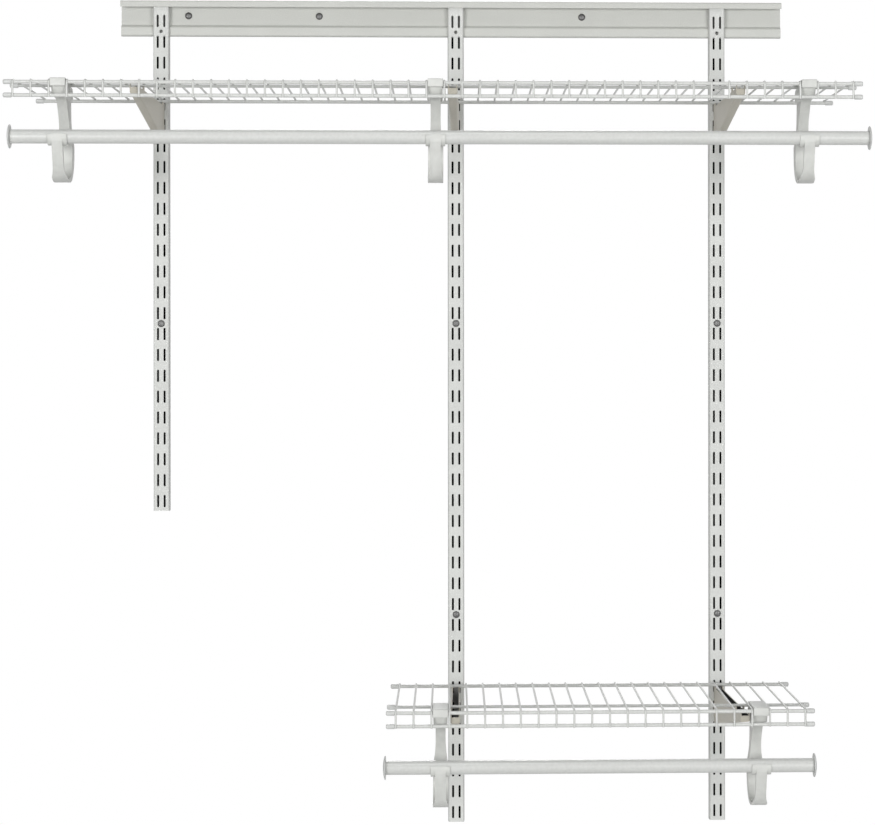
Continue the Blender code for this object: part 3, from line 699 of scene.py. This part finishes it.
def draw_screw(grip):
    """A pan head screw with a cross recess, drawn from the face that its head bears on."""
    top = FIT_GAP + SCREW_HEAD_HEIGHT
    half = SCREW_HEAD / 2
    turns = [math.radians(turn) for turn in range(0, 91, DOME_STEP_DEGREES)]
    dome = [
        (FIT_GAP + SCREW_HEAD_HEIGHT * math.cos(turn), half * math.sin(turn) ** DOME_POWER) for turn in turns
    ]
    profile = [*dome, (FIT_GAP, SCREW_SHANK / 2), (-grip, SCREW_SHANK / 2), (-grip, 0)]
    shape = bmesh.new()
    add_turned(shape, profile, Vector((0, -1, 0)), TURNED_SIDES)
    screw = piece_from("screw", shape)
    for width, height in ((RECESS_LENGTH, RECESS_WIDTH), (RECESS_WIDTH, RECESS_LENGTH)):
        outline = rectangle(-width / 2, -height / 2, width / 2, height / 2)
        bar = bmesh.new()
        add_prism(bar, outline, top - RECESS_DEPTH, top + CUT_OVERRUN, front_view)
        combine(screw, piece_from("recess", bar), "DIFFERENCE")
    return screw


def make_screws(material):
    """The rail's screws and the uprights' screws."""
    rail_names = [f"rail_screw_{side}" for side in RAIL_SCREWS]
    upright_names = [
        f"upright_screw_{side}_{level}" for side, levels in UPRIGHT_SCREWS.items() for level in levels
    ]
    upright_depth = -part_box("upright_left")[0][1]
    for grip, names in ((RAIL_SHEET, rail_names), (upright_depth, upright_names)):
        drawn = draw_screw(grip)
        for name in names:
            where = middle(name)
            screw = copy_of(f"{name}_head", drawn, Vector((where.x, -grip, where.z)))
            fit(screw, material, "wall_frame", "zinc", name)
        bpy.data.objects.remove(drawn)


def seat(centre, height, wire):
    """Corners of a raised notch that a wire lies in, from the ramp behind it to the one ahead."""
    reach = wire / 2 + FIT_GAP
    horn = height - reach * math.sin(math.radians(SEAT_HORN_DEGREES))
    return [
        (centre - reach - SEAT_HORN - SEAT_RAMP, -BRACKET_TOP_DROP),
        (centre - reach - SEAT_HORN, horn),
        *arc(reach, 180 + SEAT_HORN_DEGREES, 360 - SEAT_HORN_DEGREES, (centre, height)),
        (centre + reach + SEAT_HORN, horn),
        (centre + reach + SEAT_HORN + SEAT_RAMP, -BRACKET_TOP_DROP),
    ]


def lug(slots_down):
    """Corners of the lug that hooks behind a slot, from under its neck round to the top of it."""
    neck = -DECK_ABOVE_SLOT - slots_down * SLOT_PITCH - SLOT_HEIGHT / 2 + FIT_GAP
    behind = -UPRIGHT_SHEET - FIT_GAP
    return [
        (FIT_GAP, neck),
        (behind, neck),
        (behind, neck - LUG_HOOK),
        (behind - LUG_DEPTH, neck - LUG_HOOK),
        (behind - LUG_DEPTH, neck + LUG_NECK),
        (FIT_GAP, neck + LUG_NECK),
    ]


def bracket_half(depth, wall):
    """Half a bracket's width at a depth, where its sides part towards the nose, less a wall's thickness."""
    share = depth / BRACKET_NOSE
    return (BRACKET_REAR_WIDTH + share * (BRACKET_NOSE_WIDTH - BRACKET_REAR_WIDTH)) / 2 - wall


def spread_sides(shape, wall):
    """Part the two sides of a bracket, or of its hollow, towards the nose."""
    for vert in shape.verts:
        vert.co.x = math.copysign(bracket_half(-vert.co.y, wall), vert.co.x)


def draw_bracket():
    """A shelf bracket, measured from the upright's face and the deck's long wires."""
    foot = (FIT_GAP, -BRACKET_REAR_DROP)
    toe = (BRACKET_NOSE, -BRACKET_NOSE_DROP)
    back_seat = seat(BACK_WIRE_SPACE, 0, LONG_WIRE)
    front_seat = seat(FRONT_EDGE, 0, LONG_WIRE)
    horn = back_seat[1][1]
    outline = [foot, *lug(1), *lug(0), (FIT_GAP, horn), *back_seat[2:]]
    outline += seat(FRONT_EDGE - SECOND_SETBACK, (LONG_WIRE - SECOND_WIRE) / 2, SECOND_WIRE)
    outline += [*front_seat[:2], (BRACKET_NOSE, horn), toe]
    shape = bmesh.new()
    add_prism(shape, outline, -BRACKET_REAR_WIDTH, BRACKET_REAR_WIDTH, side_view)
    spread_sides(shape, 0)
    bend_underside(shape, (foot, toe), BRACKET_BEND)
    bracket = piece_from("bracket", shape)

    rear = -UPRIGHT_SHEET - FIT_GAP - LUG_DEPTH - CUT_OVERRUN
    heel = (FIT_GAP, -BRACKET_REAR_DROP + BRACKET_SHEET)
    corner = (BRACKET_NOSE - BRACKET_SHEET, -BRACKET_NOSE_DROP + BRACKET_SHEET)
    hollow = [
        (rear, CUT_OVERRUN),
        (rear, heel[1]),
        heel,
        corner,
        (corner[0], -BRACKET_NOSE_WALL_DROP),
        (BRACKET_NOSE + CUT_OVERRUN, -BRACKET_NOSE_WALL_DROP),
        (BRACKET_NOSE + CUT_OVERRUN, CUT_OVERRUN),
    ]
    tool = bmesh.new()
    add_prism(tool, hollow, -BRACKET_REAR_WIDTH, BRACKET_REAR_WIDTH, side_view)
    spread_sides(tool, BRACKET_SHEET)
    bend_underside(tool, (heel, corner), BRACKET_BEND - BRACKET_SHEET)
    combine(bracket, piece_from("bracket_hollow", tool), "DIFFERENCE")
    # Painted shade inside the fold and, more weakly, on the nose.
    mark_fold_shade(bracket, heel, corner)
    return bracket


def mark_fold_shade(bracket, heel, corner):
    """Mark the faces inside a bracket's fold, and by a share those of its nose, for painted shade."""
    slope = (corner[1] - heel[1]) / (corner[0] - heel[0])
    shares = []
    for face in bracket.data.polygons:
        depth = -face.center.y
        between = abs(face.center.x) < bracket_half(depth, BRACKET_SHEET) + FIT_GAP
        over_floor = face.center.z > heel[1] + slope * (depth - heel[0]) - FIT_GAP
        inside = between and over_floor and depth < corner[0] + FIT_GAP
        nose = depth > BRACKET_NOSE - MERGE_DISTANCE
        shares.append(1.0 if inside else NOSE_PAINTED_SHADE * nose)
    mark_faces(bracket, shares)


def bend_underside(shape, ends, radius):
    """Round the two long edges that run along the underside between two corners of the side outline."""
    folds = [
        edge for edge in shape.edges
        if edge.verts[0].co.x * edge.verts[1].co.x > 0
        and all(
            min((vert.co - side_view(*end, vert.co.x)).length for end in ends) < MERGE_DISTANCE
            for vert in edge.verts
        )
    ]
    bmesh.ops.bevel(
        shape, geom=folds, offset=radius, offset_type="OFFSET", segments=BRACKET_BEND_STEPS, profile=0.5,
        affect="EDGES", clamp_overlap=True, material=-1,
    )


def make_brackets(material):
    """All five brackets."""
    drawn = draw_bracket()
    for level, sides in BRACKET_TURNS.items():
        deck = middle(f"rod_{level}").z + ROD_DROP
        for side in sides:
            turn = math.radians(BRACKET_TURNS[level][side])
            across = middle(f"upright_{side}").x + math.copysign(BRACKET_PLAY, turn)
            where = Vector((across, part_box(f"upright_{side}")[0][1], deck))
            bracket = copy_of(f"bracket_{level}_{side}_arm", drawn, where, turn)
            fit(bracket, material, "wall_frame", "bracket_steel", f"bracket_{level}_{side}")
    bpy.data.objects.remove(drawn)


def long_wires():
    """The four long wires as (name, back from the front edge, height over the deck's centre, diameter)."""
    return (
        ("front", 0, 0, LONG_WIRE),
        ("lip", 0, -LIP_DROP, LONG_WIRE),
        ("second", SECOND_SETBACK, (LONG_WIRE - SECOND_WIRE) / 2, SECOND_WIRE),
        ("back", SHELF_DEPTH, 0, LONG_WIRE),
    )


def deck_origin(level):
    """The middle of a shelf's front edge wire."""
    rod = middle(f"rod_{level}")
    return Vector((middle(f"shelf_{level}").x, rod.y, rod.z + ROD_DROP))


def long_wire_half(level):
    """Half the length of a shelf's long wires."""
    return (CROSS_WIRES[level] - 1) * CROSS_PITCH / 2 + LONG_WIRE_TAIL


def add_cross_wire(shape, across):
    """A cross wire from behind the back wire to the front edge, where it bends down to the lip."""
    axis_height = (LONG_WIRE + CROSS_WIRE) / 2 - WELD_DEPTH
    ends = LONG_WIRE / 2 + CROSS_TAIL
    start = Vector((across, SHELF_DEPTH + ends, axis_height))
    circle = bmesh.ops.create_circle(
        shape, cap_ends=True, segments=CROSS_SIDES, radius=CROSS_WIRE / 2,
        matrix=Matrix.Translation(start) @ Matrix.Rotation(math.pi / 2, 4, "X"),
    )
    face = circle["verts"][0].link_faces[0]
    bend_start = CROSS_BEND - axis_height
    face = grow(shape, face, Matrix.Translation((0, bend_start - start.y, 0)))
    centre = Vector((0, bend_start, axis_height - CROSS_BEND))
    turn = Matrix.Rotation(math.pi / 2 / CROSS_BEND_STEPS, 4, "X")
    turn = Matrix.Translation(centre) @ turn @ Matrix.Translation(-centre)
    for _ in range(CROSS_BEND_STEPS):
        face = grow(shape, face, turn)
    grow(shape, face, Matrix.Translation((0, 0, -LIP_DROP - ends - centre.z)))


def make_shelf(level, material):
    """A wire shelf: its long wires and the row of cross wires welded on them."""
    half = long_wire_half(level)
    shape = bmesh.new()
    for _, back, height, wire in long_wires():
        bmesh.ops.create_cone(
            shape, cap_ends=True, segments=WIRE_SIDES, radius1=wire / 2, radius2=wire / 2, depth=2 * half,
            matrix=Matrix.Translation((0, back, height)) @ Matrix.Rotation(math.pi / 2, 4, "Y"),
        )
    for number in range(CROSS_WIRES[level]):
        add_cross_wire(shape, (number - (CROSS_WIRES[level] - 1) / 2) * CROSS_PITCH)
    bmesh.ops.translate(shape, verts=shape.verts, vec=deck_origin(level))
    shelf = piece_from(f"shelf_{level}_wires", shape)
    fit(shelf, material, f"{level}_shelf", "wire", f"shelf_{level}")


def draw_tip(wire):
    """A soft tip on a long wire's end, measured from that end."""
    end = FIT_GAP + TIP_FLOOR
    outside = TIP_DIAMETER / 2
    bore = wire / 2 + FIT_GAP / 2
    nose = arc(TIP_ROUNDING, 0, 90, (end - TIP_ROUNDING, outside - TIP_ROUNDING))
    mouth = end - TIP_LENGTH
    rim = arc(FIT_GAP, 90, 180, (mouth + FIT_GAP, outside - FIT_GAP))
    profile = [(end, 0), *nose, *rim, (mouth, bore), (FIT_GAP, bore), (FIT_GAP, 0)]
    shape = bmesh.new()
    add_turned(shape, profile, Vector((1, 0, 0)), TURNED_SIDES)
    return piece_from("tip", shape)


def make_tips(level, material):
    """The tips on all the long wires' ends of a shelf."""
    half = long_wire_half(level)
    for wire_name, back, height, wire in long_wires():
        drawn = draw_tip(wire)
        for side, sign, turn in ENDS:
            name = f"tip_{level}_{wire_name}_{side}"
            where = deck_origin(level) + Vector((sign * half, back, height))
            tip = copy_of(f"{name}_sleeve", drawn, where, turn)
            fit(tip, material, f"{level}_shelf", "tip_plastic", name)
        bpy.data.objects.remove(drawn)


def saddle_outline():
    """Side outline of a hook's saddle, which lies on the front wires and laps over the front edge."""
    under = LONG_WIRE / 2 + FIT_GAP
    top = ROD_DROP + under + SADDLE_THICK
    front = -under - SADDLE_LIP
    lip = ROD_DROP - SADDLE_LIP_DROP
    return rounded([
        (front, top, SADDLE_LIP / 2),
        (SADDLE_REACH, top, 0),
        (SADDLE_REACH, ROD_DROP + under, 0),
        (-under, ROD_DROP + under, 0),
        (-under, lip, 0),
        (front, lip, 0),
    ])


def strap_outline():
    """Side outline of a hook's strap: from the saddle down the spine, and round the loop to the arm."""
    inside_saddle = ROD_DROP + LONG_WIRE / 2 + FIT_GAP + SADDLE_THICK / 2
    wire_reach = SECOND_WIRE / 2 + FIT_GAP
    notch = SECOND_SETBACK - wire_reach
    notch_floor = ROD_DROP + (LONG_WIRE - SECOND_WIRE) / 2 - wire_reach
    spine_front = [(back * LOOP_BACK, ROD_DROP * (1 - down), 0) for back, down in SPINE_FRONT_SHARES]
    spine_back, spine_foot, _ = spine_front.pop()
    spine_rear = [(back * LOOP_BACK, ROD_DROP * (1 - down), 0) for back, down in SPINE_REAR_SHARES]
    arm_front = [(back * ARM_FOOT, up * ARM_FOOT, 0) for back, up in ARM_FRONT_SHARES]
    arm_rear = [(back * ARM_FOOT, up * ARM_FOOT, 0) for back, up in ARM_REAR_SHARES]
    inside_cradle = ROD_DIAMETER / 2 + FIT_GAP + CRADLE_WALL / 2
    cradle_front = -ROD_DIAMETER / 2 - FIT_GAP - CRADLE_WALL
    under_rod = [(*point, 0) for point in arc(inside_cradle, ARM_END_DEGREES, CRADLE_START_DEGREES)]
    floor = LOOP_FLOOR - LOOP_BOTTOM
    return rounded([
        (SPINE_START, inside_saddle, 0), *spine_front, (spine_back, spine_foot, SPINE_BEND),
        (spine_back, floor, LOOP_INNER_REAR_RADIUS),
        (TOE_INNER_REACH, floor, LOOP_INNER_FRONT_RADIUS),
        *arm_rear, *under_rod, (cradle_front, ARM_LIP_RISE, 0), *arm_front,
        (TOE_REACH, -LOOP_BOTTOM, LOOP_FRONT_RADIUS), (LOOP_BACK, -LOOP_BOTTOM, LOOP_REAR_RADIUS),
        (LOOP_BACK, 0, 0), *spine_rear,
        (SADDLE_REACH, notch_floor, 0), (notch, notch_floor, 0), (notch, inside_saddle, 0),
    ])


def flare(narrow, top, length):
    """An edge that widens downwards to the loop's width, as (height, half width) points, lowest first."""
    step = (LOOP_WIDTH - narrow) / 2
    return [(top - down * length, narrow / 2 + out * step) for down, out in FLARE_SHARES]


def half_at(edge, height):
    """Half the width of a strap at a height, from its edge of (height, half width) points."""
    if height <= edge[0][0]:
        return edge[0][1]
    for (low, narrow), (high, wide) in zip(edge, edge[1:]):
        if height <= high:
            return narrow + (wide - narrow) * (height - low) / (high - low)
    return edge[-1][1]


def shape_strap(shape):
    """Narrow a hook's strap at its neck and its arm, and leave shoulders under the saddle."""
    arm = flare(ARM_WIDTH, ARM_FLARE_TOP, ARM_FLARE_LENGTH)
    shoulder = SADDLE_WIDTH / 2 - SHOULDER_INSET
    neck = flare(NECK_WIDTH, NECK_FLARE_TOP, NECK_FLARE_LENGTH)
    neck += [(SHOULDER_FOOT, NECK_WIDTH / 2), (SHOULDER_TOP, shoulder)]
    for height, _ in arm + neck:
        parts = [*shape.verts, *shape.edges, *shape.faces]
        bmesh.ops.bisect_plane(
            shape, geom=parts, dist=MERGE_DISTANCE,
            plane_co=Vector((0, 0, height)), plane_no=Vector((0, 0, 1)),
        )
    for vert in shape.verts:
        on_arm = vert.co.y < ARM_BACK and vert.co.z < SHOULDER_FOOT
        vert.co.x = math.copysign(half_at(arm if on_arm else neck, vert.co.z), vert.co.x)


def cradle_outline():
    """Side outline of a hook's cradle, a trough under the rod."""
    inside = ROD_DIAMETER / 2 + FIT_GAP
    outer = arc(inside + CRADLE_WALL, CRADLE_START_DEGREES, CRADLE_END_DEGREES)
    return outer + arc(inside, CRADLE_END_DEGREES, CRADLE_START_DEGREES)


def hook_part(name, outline, width):
    """One part of a hook with eased edges. The strap is also narrowed at its neck and its arm."""
    shape = bmesh.new()
    add_prism(shape, outline, -width / 2, width / 2, hook_view)
    if name == "strap":
        shape_strap(shape)
    ease_edges(shape, HOOK_EDGE, HOOK_EDGE_STEPS)
    return piece_from(name, shape)


def draw_hook():
    """A rod hook, measured from the rod's axis: a looped strap, a wide saddle and a cradle."""
    hook = hook_part("strap", strap_outline(), LOOP_WIDTH)
    combine(hook, hook_part("saddle", saddle_outline(), SADDLE_WIDTH), "UNION")
    combine(hook, hook_part("cradle", cradle_outline(), CRADLE_WIDTH), "UNION")
    return hook


def make_hooks(material):
    """All five rod hooks, each between two cross wires."""
    drawn = draw_hook()
    for level, hooks in HOOK_SIDES.items():
        outer = (CROSS_WIRES[level] // 2 - HOOK_INSET_WIRES) * CROSS_PITCH
        for side, sign in hooks.items():
            name = f"hook_{level}_{side}"
            where = deck_origin(level) + Vector((sign * outer, 0, -ROD_DROP))
            hook = copy_of(f"{name}_moulding", drawn, where)
            fit(hook, material, f"{level}_shelf", "hook_plastic", name)
    bpy.data.objects.remove(drawn)


def draw_cap():
    """A rod's cap, measured from the tube's end: a domed flange with a round edge, and a plug."""
    plug = ROD_DIAMETER / 2 - ROD_WALL - FIT_GAP
    crown = FIT_GAP + CAP_FLANGE_THICK
    rim = CAP_FLANGE / 2
    fall = crown - FIT_GAP - CAP_RIM
    face = [(crown - fall * share ** CAP_DOME_POWER, rim * share) for share in CAP_DOME_SHARES]
    edge = arc(CAP_RIM / 2, CAP_EDGE_START_DEGREES, 180, (FIT_GAP + CAP_RIM / 2, rim - CAP_RIM / 2))
    profile = [*face, *edge, (FIT_GAP, plug), (-CAP_PLUG, plug), (-CAP_PLUG, 0)]
    shape = bmesh.new()
    add_turned(shape, profile, Vector((1, 0, 0)), ROD_SIDES)
    return piece_from("rod_cap", shape)


def make_rod(level, steel, plastic):
    """A closet rod and its two flanged caps."""
    low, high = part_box(f"rod_{level}")
    centre = middle(f"rod_{level}")
    half = (high[0] - low[0]) / 2
    outside = ROD_DIAMETER / 2
    inside = outside - ROD_WALL
    shape = bmesh.new()
    tube = [(-half, outside), (half, outside), (half, inside), (-half, inside)]
    add_turned(shape, tube, Vector((1, 0, 0)), ROD_SIDES)
    bmesh.ops.translate(shape, verts=shape.verts, vec=centre)
    rod = piece_from(f"rod_{level}_tube", shape)
    fit(rod, steel, f"{level}_rod", "rod_steel", f"rod_{level}")

    drawn = draw_cap()
    for side, sign, turn in ENDS:
        cap = copy_of(f"rod_{level}_cap_{side}_flange", drawn, centre + Vector((sign * half, 0, 0)), turn)
        fit(cap, plastic, f"{level}_rod", "cap_plastic", f"rod_{level}_cap_{side}")
    bpy.data.objects.remove(drawn)


def stage_sheet(name, low, high, material):
    """A flat sheet of the stage between two corners, facing up or towards the camera."""
    shape = bmesh.new()
    if low[2] == high[2]:
        corners = rectangle(low[0], low[1], high[0], high[1])
        shape.faces.new([shape.verts.new((x, y, low[2])) for x, y in corners])
    else:
        corners = rectangle(low[0], low[2], high[0], high[2])
        shape.faces.new([shape.verts.new((x, low[1], z)) for x, z in corners])
    sheet = object_from(name, shape)
    sheet.data.materials.append(material)


def seen_share(tree):
    """One on rays from the camera, straight or by way of gloss or glass, and nought on the light's own."""
    rays = add_node(tree, "ShaderNodeLightPath").outputs
    seen = rays["Is Camera Ray"]
    for kind in ("Is Glossy Ray", "Is Transmission Ray"):
        total = add_node(
            tree, "ShaderNodeMath", {"operation": "ADD", "use_clamp": True}, {0: seen, 1: rays[kind]}
        )
        seen = total.outputs[0]
    return seen


def make_floor():
    pale, tree, output, point = new_material("matt_floor_paint")
    drift = add_node(
        tree, "ShaderNodeTexNoise", inputs={"Vector": point, "Scale": 1 / FLOOR_DRIFT, "Detail": 2.0}
    )
    tint = add_node(
        tree, "ShaderNodeMix", {"data_type": "RGBA"},
        {"Factor": drift.outputs["Fac"], "A": colour(FLOOR_DARK), "B": colour(FLOOR_LIGHT)},
    )
    lift = add_node(tree, "ShaderNodeMath", {"operation": "MULTIPLY"}, {0: seen_share(tree), 1: FLOOR_LIFT})
    shader = add_node(
        tree, "ShaderNodeBsdfPrincipled",
        inputs={
            "Base Color": tint.outputs[2], "Roughness": 0.8,
            "Emission Color": colour(WHITE), "Emission Strength": lift.outputs[0],
        },
    )
    tree.links.new(shader.outputs["BSDF"], output.inputs["Surface"])
    near_left = (-FLOOR_HALF_WIDTH, FLOOR_FRONT, FLOOR_HEIGHT)
    far_right = (FLOOR_HALF_WIDTH, FLOOR_BACK, FLOOR_HEIGHT)
    stage_sheet("floor", near_left, far_right, pale)


def make_wall_strips():
    """Painted shade: a dark sheet behind each upright, where the wall would lie in shade, showing through its
    slots.
    """
    shade, tree, output, _ = new_material("wall_in_shade")
    clear = add_node(tree, "ShaderNodeBsdfTransparent")
    dark = add_node(tree, "ShaderNodeBsdfDiffuse", inputs={"Color": colour(PAINTED_SHADE_COLOUR)})
    camera_ray = add_node(tree, "ShaderNodeLightPath").outputs["Is Camera Ray"]
    from_behind = add_node(tree, "ShaderNodeNewGeometry").outputs["Backfacing"]
    seen = add_node(
        tree, "ShaderNodeMath", {"operation": "SUBTRACT", "use_clamp": True}, {0: camera_ray, 1: from_behind}
    )
    mixed = add_node(
        tree, "ShaderNodeMixShader", inputs={0: seen.outputs[0], 1: clear.outputs[0], 2: dark.outputs[0]}
    )
    tree.links.new(mixed.outputs[0], output.inputs["Surface"])
    for side in UPRIGHT_SLOTS:
        low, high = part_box(f"upright_{side}")
        low_corner = (low[0] + STRIP_INSET, STRIP_GAP, low[2] + CUT_OVERRUN)
        high_corner = (high[0] - STRIP_INSET, STRIP_GAP, high[2] - CUT_OVERRUN)
        stage_sheet(f"wall_behind_upright_{side}", low_corner, high_corner, shade)


def make_lights():
    """Soft lights from the front, from above and from behind."""
    for name, (place, target, size, power) in LIGHTS.items():
        lamp = bpy.data.lights.new(name, "AREA")
        lamp.shape = "DISK"
        lamp.size = size
        lamp.energy = power
        holder = add_object(name, lamp)
        holder.location = place
        holder.rotation_euler = (Vector(target) - Vector(place)).to_track_quat("-Z", "Y").to_euler()


def make_sky():
    world = bpy.data.worlds.new("studio")
    bpy.context.scene.world = world
    world.use_nodes = True
    tree = world.node_tree
    tree.nodes.clear()
    sky = add_node(
        tree, "ShaderNodeMix", {"data_type": "RGBA"},
        {"Factor": seen_share(tree), "A": colour(SKY_COLOUR), "B": colour(WHITE)},
    )
    light = add_node(tree, "ShaderNodeBackground", inputs={"Color": sky.outputs[2], "Strength": 1.0})
    output = add_node(tree, "ShaderNodeOutputWorld")
    tree.links.new(light.outputs["Background"], output.inputs["Surface"])


def make_camera():
    """The camera of the photograph."""
    lens = bpy.data.cameras.new("camera")
    lens.sensor_fit = "HORIZONTAL"
    lens.sensor_width = CAMERA_SENSOR
    lens.lens = CAMERA_LENS
    lens.shift_x = CAMERA_SHIFT_X
    lens.shift_y = CAMERA_SHIFT_Y
    camera = add_object("camera", lens)
    turn = Matrix.Rotation(CAMERA_YAW, 4, "Z") @ Matrix.Rotation(math.pi / 2, 4, "X")
    camera.matrix_world = Matrix.Translation(CAMERA_PLACE) @ turn @ Matrix.Rotation(CAMERA_ROLL, 4, "Z")
    bpy.context.scene.camera = camera


def make_kit():
    """Real grain, stipple and orange peel are finer than a millimetre. They are drawn coarser, at 0.8 to 4 mm,
    so that they show.
    """
    # Roll formed steel, sprayed with dry powder and baked: an even satin face with a faint orange peel.
    rail_coat = coated_metal(
        "satin_powder_coat", light="c8c9c4", dark="c0c1bc",
        grain=0.0015, cloud=0.08, peel=0.0012, roughness=0.42, coat=0.0,
    )
    # Baked powder with a fine texture: duller than the rail. Inside the channel a dark colour is painted
    # shade.
    channel_coat = coated_metal(
        "textured_powder_coat", light="d8d9d6", dark="c8c9c6",
        grain=0.0016, cloud=0.05, peel=0.0008, roughness=0.55, coat=0.0, painted_shade="3a3a38",
    )
    # Folded steel under powder: warmer, and set darker than the uprights as painted shade, with dark painted
    # shade inside the fold and on the nose.
    bracket_coat = coated_metal(
        "bracket_coat_with_painted_shade", light="c0bbad", dark="b5b0a2",
        grain=0.002, cloud=0.06, peel=0.0012, roughness=0.45, coat=0.0, painted_shade="2c2b2a",
    )
    # Welded wire, heated and dipped in epoxy powder: a thick smooth skin with slow drifts of shade.
    wire_coat = coated_metal(
        "dipped_epoxy_coat", light="d2d3d0", dark="c8c9c6",
        grain=0.003, cloud=0.09, peel=0.0016, roughness=0.40, coat=0.1,
    )
    # Welded steel tube, sprayed with enamel: the glossiest finish here, with a soft light along the rod.
    rod_coat = coated_metal(
        "gloss_enamel", light="cfd0cd", dark="c9cac7",
        grain=0.004, cloud=0.12, peel=0.0025, roughness=0.34, coat=0.2,
    )
    # Injection moulded polypropylene: waxy, a little translucent, with flow bands along the strap.
    hook_plastic = moulded_plastic(
        "moulded_polypropylene", light="d3d4d0", dark="cacbc7", flow=0.02, stipple=0.0008, roughness=0.45
    )
    # The same plastic in a thick flange: slightly greyer and smoother.
    cap_plastic = moulded_plastic(
        "cap_polypropylene", light="cdcecc", dark="c4c5c3", flow=0.012, stipple=0.0008, roughness=0.42
    )
    # Soft vinyl moulded on a pin: rubbery, with a low sheen.
    tip_plastic = moulded_plastic(
        "soft_tip_vinyl", light="d2d3d1", dark="c8c9c7", flow=0.006, stipple=0.0008, roughness=0.38
    )
    # Cold headed steel, barrel plated with zinc: dull grey metal, uneven from spot to spot.
    screw_zinc = zinc_plate("zinc_plate", light="828282", dark="484847", spangle=0.0012, roughness=0.45)

    make_rail(rail_coat)
    for side in UPRIGHT_SLOTS:
        make_upright(side, channel_coat)
    make_screws(screw_zinc)
    make_brackets(bracket_coat)
    for level in CROSS_WIRES:
        make_shelf(level, wire_coat)
        make_tips(level, tip_plastic)
        make_rod(level, rod_coat, cap_plastic)
    make_hooks(hook_plastic)


make_camera()
make_floor()
make_wall_strips()
make_lights()
make_sky()
make_kit()
bpy.context.scene.view_settings.view_transform = "Standard"
